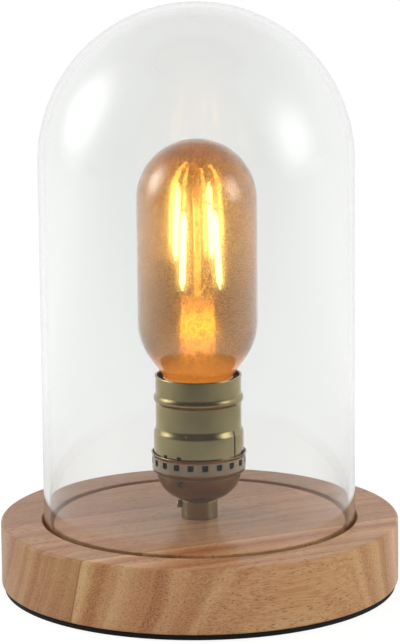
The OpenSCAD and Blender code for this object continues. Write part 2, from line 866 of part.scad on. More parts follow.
module terminal_block() {
    color([0.92, 0.92, 0.88])
        difference() {
            translate([-block_w / 2, block_y - block_l / 2, block_z]) cube([block_w, block_l, block_h]);
            for (side = [-1, 1]) {
                translate([side * insert_x, block_y, insert_z]) rotate([90, 0, 0])
                    cylinder(r = insert_r + insert_gap, h = block_l + over, center = true);
                for (step = [-1, 1])
                    translate([side * insert_x, block_y + step * block_screw_y, block_z - over])
                        cylinder(r = block_screw_r + insert_gap, h = insert_z - block_z + over);
            }
            translate([0, block_y, block_z - over])
                cylinder(r = wood_screw_r + screw_gap, h = block_h + 2 * over);
            translate([0, block_y, block_z - over])
                cylinder(r = wood_head_r + screw_gap, h = screw_sink + wood_head_h + seat + over);
        }
}

module block_inserts() {
    color([0.82, 0.7, 0.42])
        for (side = [-1, 1])
            difference() {
                translate([side * insert_x, block_y, insert_z]) rotate([90, 0, 0])
                    difference() {
                        cylinder(r = insert_r, h = block_l - over, center = true);
                        cylinder(r = insert_bore, h = block_l + over, center = true);
                    }
                for (step = [-1, 1])
                    translate([side * insert_x, block_y + step * block_screw_y, block_z - over])
                        cylinder(r = block_screw_r + insert_gap, h = insert_z - block_z + over);
            }
}

module block_screws() {
    tip = insert_z - insert_bore;
    color([0.72, 0.72, 0.7])
        for (side = [-1, 1], step = [-1, 1])
            translate([side * insert_x, block_y + step * block_screw_y, block_z + screw_sink])
                cylinder(r = block_screw_r, h = tip - block_z - screw_sink);
}

module block_fixing_screw() {
    color([0.72, 0.72, 0.7])
        translate([0, block_y, block_z + screw_sink]) {
            cylinder(r = wood_head_r, h = wood_head_h);
            cylinder(r = wood_screw_r, h = block_h - screw_sink + wood_screw_l);
        }
}

module glass_dome() {
    half = dome_wall / 2;
    color([0.85, 0.92, 0.93, 0.25])
        rotate_extrude() {
            intersection() {
                translate([0, dome_crown_z])
                    difference() {
                        circle(dome_r);
                        circle(dome_r - dome_wall);
                    }
                translate([0, dome_crown_z]) square(dome_r + over);
            }
            translate([dome_r - dome_wall, dome_rim_z + half])
                square([dome_wall, dome_crown_z - dome_rim_z - half]);
            translate([dome_r - half, dome_rim_z + half]) circle(half);
        }
}

module bulb_glass() {
    // The same outline serves both faces of the glass, the inner one drawn in by the wall
    function outline(inset) = concat(
        [[bulb_neck_r - inset, cap_top - bulb_neck_l]],
        [[bulb_neck_r - inset, cap_top]],
        reversed(arc(bulb_r - shoulder_r, bulb_shoulder_z, shoulder_r - inset, 0, -shoulder_angle)),
        arc(0, bulb_crown_z, bulb_r - inset, 0, 90)
    );
    color([0.85, 0.6, 0.3, 0.4])
        rotate_extrude()
            polygon(concat(outline(0), reversed(outline(bulb_wall))));
}

module bulb_stem() {
    flare_r = bulb_neck_r - bulb_wall - stem_gap;
    color([0.9, 0.85, 0.7, 0.5]) {
        rotate_extrude()
            polygon(concat(
                [[flare_r, stem_foot_z]],
                arc(flare_r, stem_neck_z, flare_r - stem_r, 240, 180),
                [[stem_r, stem_top]],
                [[0, stem_top], [0, stem_top - stem_wall]],
                [[stem_r - stem_wall, stem_top - stem_wall]],
                arc(flare_r, stem_neck_z, flare_r - stem_r + stem_wall, 180, 240),
                [[flare_r - stem_wall, stem_foot_z]]
            ));
        translate([0, 0, stem_top - stem_wall / 2])
            linear_extrude(press_h + stem_wall / 2)
                intersection() {
                    square([press_w, press_t], center = true);
                    circle(d = press_w);
                }
    }
}

module bulb_rod() {
    head_z = cap_top + rod_top - rod_head_h;
    color([0.9, 0.85, 0.7, 0.5]) {
        translate([0, 0, rod_z]) cylinder(r = rod_r, h = head_z - rod_z);
        translate([0, 0, head_z]) cylinder(r = rod_head_r, h = rod_head_h);
    }
}

module filament(i) {
    color([1, 0.85, 0.4])
        rotate([0, 0, filament_angle(i)])
            translate([filament_r, 0, filament_z(i)])
                rotate([0, -filament_tilt, 0]) {
                    cylinder(r = wire_r, h = filament_total);
                    translate([0, 0, filament_tab]) cylinder(r = filament_body_r, h = filament_l);
                }
}

module filament_1() {
    filament(0);
}

module filament_2() {
    filament(1);
}

module filament_3() {
    filament(2);
}

module filament_4() {
    filament(3);
}

// From the stem's press out to the foot of each filament, and up to it
module filament_feet_wires() {
    color([0.8, 0.78, 0.74])
        for (i = [0:3]) {
            root = at(wire_root_r, filament_angle(i), rod_z + wire_d);
            foot = filament_low(i) - [0, 0, wire_gap];
            swept(eased([root, foot - [0, 0, wire_hook], foot]), wire_r, 6);
        }
}

// From the rod's head out over the top of each filament, and down to it
module filament_top_wires() {
    root_r = rod_head_r + wire_gap + wire_r;
    color([0.8, 0.78, 0.74])
        for (i = [0:3]) {
            root = at(root_r, filament_angle(i), cap_top + rod_top - rod_head_h / 2);
            end = filament_high(i) + [0, 0, wire_gap];
            swept(eased([root, end + [0, 0, wire_hook], end]), wire_r, 6);
        }
}

module bulb_cap() {
    neck_z = thread_top + cap_t;
    color([0.8, 0.78, 0.72])
        waved_sleeve(
            concat([[cap_z, thread_r - thread_wave - cap_round, 0]],
                threaded(cap_z + cap_round, thread_top, thread_r, -1),
                [[neck_z, cap_mouth_r + cap_t, 0], [cap_top, cap_mouth_r + cap_t, 0]]),
            [
                [cap_z, cap_bore_r, 0],
                [thread_top - cap_t, cap_bore_r, 0],
                [neck_z, cap_mouth_r, 0],
                [cap_top, cap_mouth_r, 0]
            ]
        );
}

module cap_insulator() {
    z = cap_z - insulator_h;
    plug_r = cap_bore_r * cos(180 / thread_sides) - seat;
    color([0.1, 0.1, 0.1])
        rotate_extrude()
            polygon([
                [tip_pin_r + pin_gap, z],
                [tip_r + insulator_edge, z],
                [plug_r, cap_z - seat],
                [plug_r, cap_z + insulator_plug],
                [0, cap_z + insulator_plug],
                [0, z + tip_pin_h + tip_seat],
                [tip_pin_r + pin_gap, z + tip_pin_h + tip_seat]
            ]);
}

module cap_contact() {
    round_r = (tip_r * tip_r + tip_h * tip_h) / (2 * tip_h);
    color([0.82, 0.82, 0.84]) {
        intersection() {
            translate([0, 0, tip_z + round_r]) sphere(round_r);
            translate([0, 0, tip_z]) cylinder(r = tip_r, h = tip_h);
        }
        translate([0, 0, tip_z + tip_h]) cylinder(r = tip_pin_r, h = tip_pin_h);
    }
}

module driver_board() {
    color([0.2, 0.42, 0.25])
        translate([-board_w / 2, 0, board_z]) cube([board_w, board_t, board_top - board_z]);
}

module driver_parts() {
    chip_z = board_top - chip_h - chip_edge;
    coil_z = board_z + coil_lift;
    color([0.15, 0.14, 0.13]) {
        translate([chip_x - chip_w / 2, -chip_t - seat, chip_z]) cube([chip_w, chip_t, chip_h]);
        translate([0, -coil_r - seat, coil_z]) cylinder(r = coil_r, h = coil_h);
        translate([0, board_t + coil_r + seat, coil_z]) cylinder(r = coil_r, h = coil_h);
    }
}

wood_base();
base_pad();
cord_inlet_bush();
threaded_tube();
tube_washer();
tube_nut();
holder_neck();
neck_set_screw();
holder_cap();
cap_screw();
holder_shell();
insulating_sleeve();
screw_shell();
socket_body();
shell_rivets();
contact_foot();
contact_tongue();
live_terminal();
neutral_terminal();
terminal_screws();
live_lead();
neutral_lead();
terminal_block();
block_inserts();
block_screws();
block_fixing_screw();
glass_dome();
bulb_glass();
bulb_stem();
bulb_rod();
filament_1();
filament_2();
filament_3();
filament_4();
filament_feet_wires();
filament_top_wires();
bulb_cap();
cap_insulator();
cap_contact();
driver_board();
driver_parts();
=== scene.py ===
"""Glass cloche table lamp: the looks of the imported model, with its floor, light and camera.

Lengths are millimetres in this script and become metres where a mesh is made. Angles are in
degrees, from +X, and the lamp's front faces -Y.
"""
import logging
import math
from collections.abc import Callable, Sequence
from dataclasses import astuple, dataclass, replace
from enum import Enum
from functools import partial

import bpy
from mathutils import Matrix, Vector


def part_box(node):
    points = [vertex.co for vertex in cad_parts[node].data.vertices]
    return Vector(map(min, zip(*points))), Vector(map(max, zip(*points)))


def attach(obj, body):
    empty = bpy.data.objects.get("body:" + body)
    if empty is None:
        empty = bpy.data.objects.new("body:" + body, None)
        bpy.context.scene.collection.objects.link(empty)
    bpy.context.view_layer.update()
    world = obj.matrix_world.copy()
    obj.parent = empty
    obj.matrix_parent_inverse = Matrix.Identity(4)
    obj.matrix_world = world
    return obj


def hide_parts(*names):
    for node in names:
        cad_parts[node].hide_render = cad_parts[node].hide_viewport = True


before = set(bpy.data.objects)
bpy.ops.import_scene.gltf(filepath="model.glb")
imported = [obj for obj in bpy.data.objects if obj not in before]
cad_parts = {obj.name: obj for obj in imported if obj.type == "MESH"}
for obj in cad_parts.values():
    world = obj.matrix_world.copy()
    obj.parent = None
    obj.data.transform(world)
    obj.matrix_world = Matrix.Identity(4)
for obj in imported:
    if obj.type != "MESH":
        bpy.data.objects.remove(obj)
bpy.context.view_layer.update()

LOG = logging.getLogger("lamp")

MM = 0.001
# A ring of this radius stands for a point on the axis until doubles are merged
AXIS_R = 0.004
MERGE_GAP = 0.012
# How far a cutter reaches past the surface that it cuts
OVER = 1.0
# A straight stretch longer than this gets a ring near both of its ends, this far from them
LONG_STRETCH = 0.8
SUPPORT_GAP = 0.3
# Edges sharper than this stay sharp, on metalwork, threads, drawn pieces and blown glass
SHARP = 32.0
SHARP_ON_THREAD = 45.0
SHARP_ON_DRAWN = 50.0
SHARP_ON_BLOWN = 60.0
# A hole for a screw is wider than it by this on all sides
SCREW_GAP = 0.05
# The share of the filaments' glow that a far glass doesn't mirror
MIRROR_DIMMING = 0.97

Point = tuple[float, float]


@dataclass(frozen=True)
class Ring:
    """One ring of a turned piece, which may be shifted off the axis or flattened in depth."""

    r: float
    z: float
    dx: float = 0.0
    dy: float = 0.0
    flat: float = 1.0


def arc(
    centre_r: float, centre_z: float, radius: float, start: float, end: float, steps: int = 8
) -> list[Point]:
    """Points of an arc in a turned outline.

    Args:
        centre_r: Distance of the arc's centre from the axis.
        centre_z: Height of the arc's centre.
        radius: Radius of the arc.
        start: Angle of the first point, 0 pointing outwards and 90 upwards.
        end: Angle of the last point.
        steps: Number of straight steps along the arc.

    Returns:
        The points as (radius, height) pairs, ends included.
    """
    angles = [math.radians(start + (end - start) * i / steps) for i in range(steps + 1)]
    return [(centre_r + radius * math.cos(a), centre_z + radius * math.sin(a)) for a in angles]


def supported(outline: Sequence[Ring]) -> list[Ring]:
    """Adds a ring near both ends of long stretches, so that smooth shading stays true along them.

    Args:
        outline: The rings of a turned piece.

    Returns:
        The same rings with the added ones between them.
    """
    made = [outline[0]]
    for start, end in zip(outline, outline[1:]):
        length = math.hypot(end.r - start.r, end.z - start.z)
        if length > LONG_STRETCH:
            share = min(SUPPORT_GAP / length, 0.2)
            for part in (share, 1 - share):
                mixed = [a + (b - a) * part for a, b in zip(astuple(start), astuple(end))]
                made.append(Ring(*mixed))
        made.append(end)
    return made


def rings(points: Sequence[Point]) -> list[Ring]:
    """Makes plain round rings from an outline's points."""
    return [Ring(r, z) for r, z in points]


def at(radius: float, angle: float, z: float) -> Vector:
    """A point at a radius and an angle round the axis."""
    turn = math.radians(angle)
    return Vector((radius * math.cos(turn), radius * math.sin(turn), z))


def node_box(name: str) -> tuple[Vector, Vector]:
    """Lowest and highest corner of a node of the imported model, in millimetres."""
    low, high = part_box(name)
    return low / MM, high / MM


class Workshop:
    """The modelling steps that the pieces share, each done with Blender's own operators."""

    @staticmethod
    def pick(piece: bpy.types.Object) -> None:
        """Selects one piece alone and makes it active.

        Args:
            piece: The piece.
        """
        bpy.ops.object.select_all(action="DESELECT")
        piece.select_set(True)
        bpy.context.view_layer.objects.active = piece

    @classmethod
    def turn(cls, name: str, outline: Sequence[Ring], sides: int = 96) -> bpy.types.Object:
        """Turns a closed piece.

        Args:
            name: Name of the new piece.
            outline: The rings in order. Both ends lie on the axis, or the last ring is the first.
            sides: Number of sides of each ring.

        Returns:
            The closed piece, with its place in its mesh.
        """
        outline = supported(outline)
        if all((ring.dx, ring.dy, ring.flat) == (0, 0, 1) for ring in outline):
            piece = cls.spin(outline, sides)
        else:
            piece = cls.stack(outline, sides)
        piece.name = piece.data.name = name
        bpy.ops.mesh.select_all(action="SELECT")
        bpy.ops.mesh.remove_doubles(threshold=MERGE_GAP * MM)
        bpy.ops.mesh.normals_make_consistent(inside=False)
        bpy.ops.object.mode_set(mode="OBJECT")
        return piece

    @staticmethod
    def spin(outline: Sequence[Ring], sides: int) -> bpy.types.Object:
        """Extrudes a point along the outline and spins the line, and stays in edit mode.

        Args:
            outline: The rings in order, all round and on the axis.
            sides: Number of sides of each ring.

        Returns:
            The turned piece, its doubles not yet merged.
        """
        bpy.ops.object.select_all(action="DESELECT")
        bpy.ops.mesh.primitive_plane_add(size=MM, location=(0, 0, 0))
        bpy.ops.object.mode_set(mode="EDIT")
        bpy.ops.mesh.select_all(action="SELECT")
        bpy.ops.mesh.merge(type="CENTER")
        bpy.ops.transform.translate(value=(outline[0].r * MM, 0, outline[0].z * MM))
        for last, ring in zip(outline, outline[1:]):
            step = ((ring.r - last.r) * MM, 0, (ring.z - last.z) * MM)
            bpy.ops.mesh.extrude_region_move(TRANSFORM_OT_translate={"value": step})
        bpy.ops.mesh.select_all(action="SELECT")
        bpy.ops.mesh.spin(steps=sides, angle=math.tau, center=(0, 0, 0), axis=(0, 0, 1))
        return bpy.context.object

    @staticmethod
    def stack(outline: Sequence[Ring], sides: int) -> bpy.types.Object:
        """Extrudes a ring of edges from place to place, and stays in edit mode.

        Args:
            outline: The rings in order, which may be shifted or flattened.
            sides: Number of sides of each ring.

        Returns:
            The stacked piece, its doubles not yet merged.
        """
        last = outline[0]
        bpy.ops.object.select_all(action="DESELECT")
        bpy.ops.mesh.primitive_circle_add(
            vertices=sides,
            radius=max(last.r, AXIS_R) * MM,
            location=(last.dx * MM, last.dy * MM, last.z * MM),
        )
        piece = bpy.context.object
        piece.scale.y = last.flat
        bpy.ops.object.transform_apply(location=True, rotation=False, scale=True)
        bpy.ops.object.mode_set(mode="EDIT")
        bpy.ops.mesh.select_all(action="SELECT")
        for ring in outline[1:]:
            step = (ring.dx - last.dx, ring.dy - last.dy, ring.z - last.z)
            step = [size * MM for size in step]
            bpy.ops.mesh.extrude_region_move(TRANSFORM_OT_translate={"value": step})
            growth = max(ring.r, AXIS_R) / max(last.r, AXIS_R)
            bpy.ops.transform.resize(
                value=(growth, growth * ring.flat / last.flat, 1),
                center_override=(ring.dx * MM, ring.dy * MM, ring.z * MM),
            )
            last = ring
        return piece

    @staticmethod
    def rod(radius: float, length: float, sides: int = 32) -> bpy.types.Object:
        """A cylinder that stands on the origin, as a blank or a cutter.

        Args:
            radius: Radius of the cylinder.
            length: Its height.
            sides: Number of its sides.

        Returns:
            The cylinder.
        """
        bpy.ops.object.select_all(action="DESELECT")
        bpy.ops.mesh.primitive_cylinder_add(
            vertices=sides, radius=radius * MM, depth=length * MM, location=(0, 0, length * MM / 2)
        )
        bpy.ops.object.transform_apply(location=True, rotation=False, scale=False)
        return bpy.context.object

    @staticmethod
    def block(size: Vector, centre: Vector) -> bpy.types.Object:
        """A box of a size about a centre, as a blank or a cutter.

        Args:
            size: Length along X, Y and Z.
            centre: Place of its middle.

        Returns:
            The box.
        """
        bpy.ops.object.select_all(action="DESELECT")
        bpy.ops.mesh.primitive_cube_add(size=1, location=centre * MM)
        bpy.context.object.scale = size * MM
        bpy.ops.object.transform_apply(location=True, rotation=False, scale=True)
        return bpy.context.object

    @classmethod
    def settle(cls, piece: bpy.types.Object, place: Matrix) -> bpy.types.Object:
        """Moves a piece to its place, in metres, and puts the move into its mesh.

        Args:
            piece: The piece.
            place: The move and turn, in metres.

        Returns:
            The same piece.
        """
        cls.pick(piece)
        piece.matrix_world = place
        bpy.ops.object.transform_apply(location=True, rotation=True, scale=True)
        return piece

    @classmethod
    def outwards(
        cls, piece: bpy.types.Object, angle: float, radius: float, z: float
    ) -> bpy.types.Object:
        """Places a piece at a radius and an angle, with its own +Z pointing outwards.

        Args:
            piece: The piece.
            angle: Angle round the axis.
            radius: Distance of the piece's origin from the axis.
            z: Height of the piece's origin.

        Returns:
            The same piece.
        """
        turned = Matrix.Rotation(math.radians(angle), 4, "Z")
        moved = Matrix.Translation((radius * MM, 0, z * MM))
        return cls.settle(piece, turned @ moved @ Matrix.Rotation(math.radians(90), 4, "Y"))

    @classmethod
    def join(cls, parts: Sequence[bpy.types.Object]) -> bpy.types.Object:
        """Joins several meshes into the first of them.

        Args:
            parts: The pieces to join.

        Returns:
            The first piece, which now holds them all.
        """
        cls.pick(parts[0])
        for part in parts[1:]:
            part.select_set(True)
        bpy.ops.object.join()
        return parts[0]

    @classmethod
    def cut(cls, piece: bpy.types.Object, cutters: Sequence[bpy.types.Object]) -> None:
        """Takes the cutters' shapes out of a piece and removes the cutters.

        Args:
            piece: The piece to cut.
            cutters: Closed pieces that don't touch one another.
        """
        cutter = cls.join(cutters)
        modifier = piece.modifiers.new("cut", "BOOLEAN")
        modifier.operation = "DIFFERENCE"
        modifier.solver = "EXACT"
        modifier.use_self = False
        modifier.object = cutter
        cls.pick(piece)
        bpy.ops.object.modifier_apply(modifier=modifier.name)
        bpy.data.objects.remove(cutter)

    @classmethod
    def smooth(cls, piece: bpy.types.Object, angle: float = SHARP) -> None:
        """Shades a piece smooth, apart from edges sharper than the angle.

        Args:
            piece: The piece.
            angle: The least angle of an edge that stays sharp.
        """
        cls.pick(piece)
        bpy.ops.object.shade_smooth_by_angle(angle=math.radians(angle))

    @classmethod
    def wire(cls, name: str, route: Sequence[Vector], radius: float) -> bpy.types.Object:
        """Bends a round wire along a route's points.

        Args:
            name: Name of the new piece.
            route: Points along the wire's centre line.
            radius: Radius of the wire.

        Returns:
            The wire as a mesh with closed ends.
        """
        bpy.ops.object.select_all(action="DESELECT")
        bpy.ops.curve.primitive_nurbs_path_add(location=(0, 0, 0))
        piece = bpy.context.object
        piece.name = name
        curve = piece.data
        curve.splines.clear()
        spline = curve.splines.new("NURBS")
        spline.points.add(len(route) - 1)
        for point, place in zip(spline.points, route):
            point.co = (*(place * MM), 1)
        spline.order_u = min(4, len(route))
        spline.use_endpoint_u = True
        spline.resolution_u = 6
        curve.bevel_depth = radius * MM
        curve.bevel_resolution = 3
        curve.use_fill_caps = True
        bpy.ops.object.convert(target="MESH")
        piece = bpy.context.object
        bpy.ops.object.mode_set(mode="EDIT")
        bpy.ops.mesh.select_all(action="SELECT")
        bpy.ops.mesh.remove_doubles(threshold=0.001 * MM)
        bpy.ops.mesh.normals_make_consistent(inside=False)
        bpy.ops.object.mode_set(mode="OBJECT")
        cls.smooth(piece, SHARP_ON_DRAWN)
        return piece

    @classmethod
    def slotted_screw(
        cls, name: str, diameter: float, length: float, slot: Point
    ) -> bpy.types.Object:
        """A headless screw along +Z with a straight slot in its outer end.

        Args:
            name: Name of the new piece.
            diameter: Diameter of the screw.
            length: Length of the screw.
            slot: Width and depth of the slot.

        Returns:
            The screw, standing on the origin.
        """
        chamfer = 0.12 * diameter
        piece = cls.turn(name, rings([
            (0, 0), (diameter / 2 - chamfer, 0), (diameter / 2, chamfer),
            (diameter / 2, length - chamfer), (diameter / 2 - chamfer, length), (0, length),
        ]), sides=32)
        width, depth = slot
        cutter = cls.block(Vector((2 * diameter, width, 2 * depth)), Vector((0, 0, length)))
        cls.cut(piece, [cutter])
        cls.smooth(piece)
        return piece


def linear(colour: str) -> tuple[float, float, float, float]:
    """Turns an sRGB hex value into the linear colour that shaders take."""
    parts = [int(colour[i:i + 2], 16) / 255 for i in (1, 3, 5)]
    return (*[p / 12.92 if p <= 0.04045 else ((p + 0.055) / 1.055) ** 2.4 for p in parts], 1.0)


def add(
    tree: bpy.types.NodeTree,
    kind: str,
    inputs: dict | Sequence = (),
    stops: Sequence[tuple[float, str]] = (),
    **settings: object,
) -> bpy.types.Node:
    """Adds a node with its settings and links.

    Args:
        tree: The material's or the world's node tree.
        kind: The node's type, without the word ShaderNode.
        inputs: Values, sRGB hex values, sockets or nodes, in order or by the input's name or
            number. A node stands for its first output in use.
        stops: Places and sRGB hex values of a colour ramp.
        settings: The node's own properties.

    Returns:
        The new node.
    """
    made = tree.nodes.new("ShaderNode" + kind)
    for key, value in settings.items():
        setattr(made, key, value)
    if stops:
        elements = made.color_ramp.elements
        for _ in stops[2:]:
            elements.new(0.5)
        for element, (place, colour) in zip(elements, stops):
            element.position = place
            element.color = linear(colour)
    pairs = inputs.items() if isinstance(inputs, dict) else enumerate(inputs)
    for key, value in pairs:
        socket = made.inputs[key]
        if isinstance(value, bpy.types.Node):
            value = next(output for output in value.outputs if output.enabled)
        if isinstance(value, bpy.types.NodeSocket):
            tree.links.new(value, socket)
        else:
            socket.default_value = linear(value) if isinstance(value, str) else value
    return made


# What adds a node to one material's tree, as add does
Adder = Callable[..., bpy.types.Node]


def glow_power(node: Adder, power: float) -> bpy.types.Node:
    """Strength of a glow, dimmed where a far glass mirrors it.

    The dome in the photograph shows no such mirror image of the filaments.

    Args:
        node: Adds a node to the material's tree.
        power: The glow's strength.

    Returns:
        The node that gives the strength.
    """
    path = node("LightPath")
    polished = node("Math", (path.outputs["Glossy Depth"], 0.5), operation="GREATER_THAN")
    far = node("Math", (polished, path.outputs["Is Transmission Ray"]), operation="MULTIPLY")
    return node("Math", (far, -MIRROR_DIMMING * power, power), operation="MULTIPLY_ADD")


class Grain(Enum):
    """The way in which fine marks run on a surface, as shares of their length along X, Y and Z."""

    TURNED = (14.0, 14.0, 1.0)
    DRAWN = (1.0, 1.0, 14.0)
    EVEN = (1.0, 1.0, 1.0)


def new_material(name: str) -> tuple[bpy.types.Material, Adder]:
    """A fresh material, and what adds nodes to its empty tree.

    Args:
        name: Name of the material.

    Returns:
        The material and its adder of nodes.
    """
    made = bpy.data.materials.new(name)
    made.use_nodes = True
    made.node_tree.nodes.clear()
    return made, partial(add, made.node_tree)


@dataclass(frozen=True)
class Metal:
    """A metal surface with fine working marks, a patina that varies in patches and, where set,
    painted shade below a height.
    """

    name: str
    colour: str
    patina: str
    roughness: float
    grain: Grain = Grain.EVEN
    # Width of a working mark, width of a patch of patina, and depth of a mark
    mark: float = 0.25
    patch: float = 9.0
    depth: float = 0.012
    # How much the marks count for beside the patches
    mark_share: float = 0.35
    # Painted shade: under this height, where the shell's skirt lies behind the cap's windows, the
    # metal is painted black
    painted_shade_below: float = -1.0
    painted_shade_tone: str = "#241e15"
    painted_shade_edge: float = 0.2

    def make(self) -> bpy.types.Material:
        """Makes the material.

        Returns:
            The finished material.
        """
        made, node = new_material(self.name)
        place = node("TexCoord").outputs["Object"]
        stretch = [1 / (self.mark * MM * s) for s in self.grain.value]
        marks = node("Mapping", {"Vector": place, "Scale": stretch})
        fine = node("TexNoise", {"Vector": marks, "Scale": 1.0, "Detail": 3.0})
        broad = node("TexNoise", {"Vector": place, "Scale": 1 / (self.patch * MM), "Detail": 5.0})
        both = node("Math", (fine, self.mark_share, broad), operation="MULTIPLY_ADD")
        tone = node("ValToRGB", (both,), [(0.5, self.patina), (0.8, self.colour)])
        # Painted shade: black below a height, for the shadow behind the cap's windows
        if self.painted_shade_below > 0:
            height = node("SeparateXYZ", (place,)).outputs["Z"]
            edge = (self.painted_shade_below + self.painted_shade_edge) * MM
            share = node("MapRange", (height, edge, self.painted_shade_below * MM))
            tone = node("Mix", {0: share, 6: tone, 7: self.painted_shade_tone}, data_type="RGBA")
        # The patina is rougher than the metal that has been brushed bare
        dull, bright = self.roughness + 0.05, self.roughness - 0.03
        rough = node("MapRange", (both, 0.4, 0.9, dull, bright))
        bump = node("Bump", {"Height": fine, "Strength": 0.5, "Distance": self.depth * MM})
        shader = node("BsdfPrincipled", {
            "Base Color": tone, "Metallic": 1.0, "Roughness": rough, "Normal": bump,
        })
        node("OutputMaterial", (shader,))
        return made


@dataclass(frozen=True)
class Moulded:
    """A moulded or extruded plastic, or another plain matt stuff, with a fine grain."""

    name: str
    colour: str
    shade: str
    roughness: float
    # Width and depth of its grain
    grit: float = 0.4
    depth: float = 0.02
    ior: float = 1.5
    # Its tone drifts over this many times the width of its grain
    drift: float = 20.0
    # Its roughness varies by this much either way
    spread: float = 0.06

    def make(self) -> bpy.types.Material:
        """Makes the material.

        Returns:
            The finished material.
        """
        made, node = new_material(self.name)
        place = node("TexCoord").outputs["Object"]
        fine = node("TexNoise", {"Vector": place, "Scale": 1 / (self.grit * MM), "Detail": 4.0})
        wide = self.drift * self.grit * MM
        broad = node("TexNoise", {"Vector": place, "Scale": 1 / wide, "Detail": 3.0})
        tone = node("ValToRGB", (broad,), [(0.35, self.shade), (0.65, self.colour)])
        low, high = self.roughness - self.spread, self.roughness + self.spread
        rough = node("MapRange", (fine, 0.3, 0.7, low, high))
        bump = node("Bump", {"Height": fine, "Strength": 0.6, "Distance": self.depth * MM})
        shader = node("BsdfPrincipled", {
            "Base Color": tone, "Roughness": rough, "IOR": self.ior, "Normal": bump,
        })
        node("OutputMaterial", (shader,))
        return made


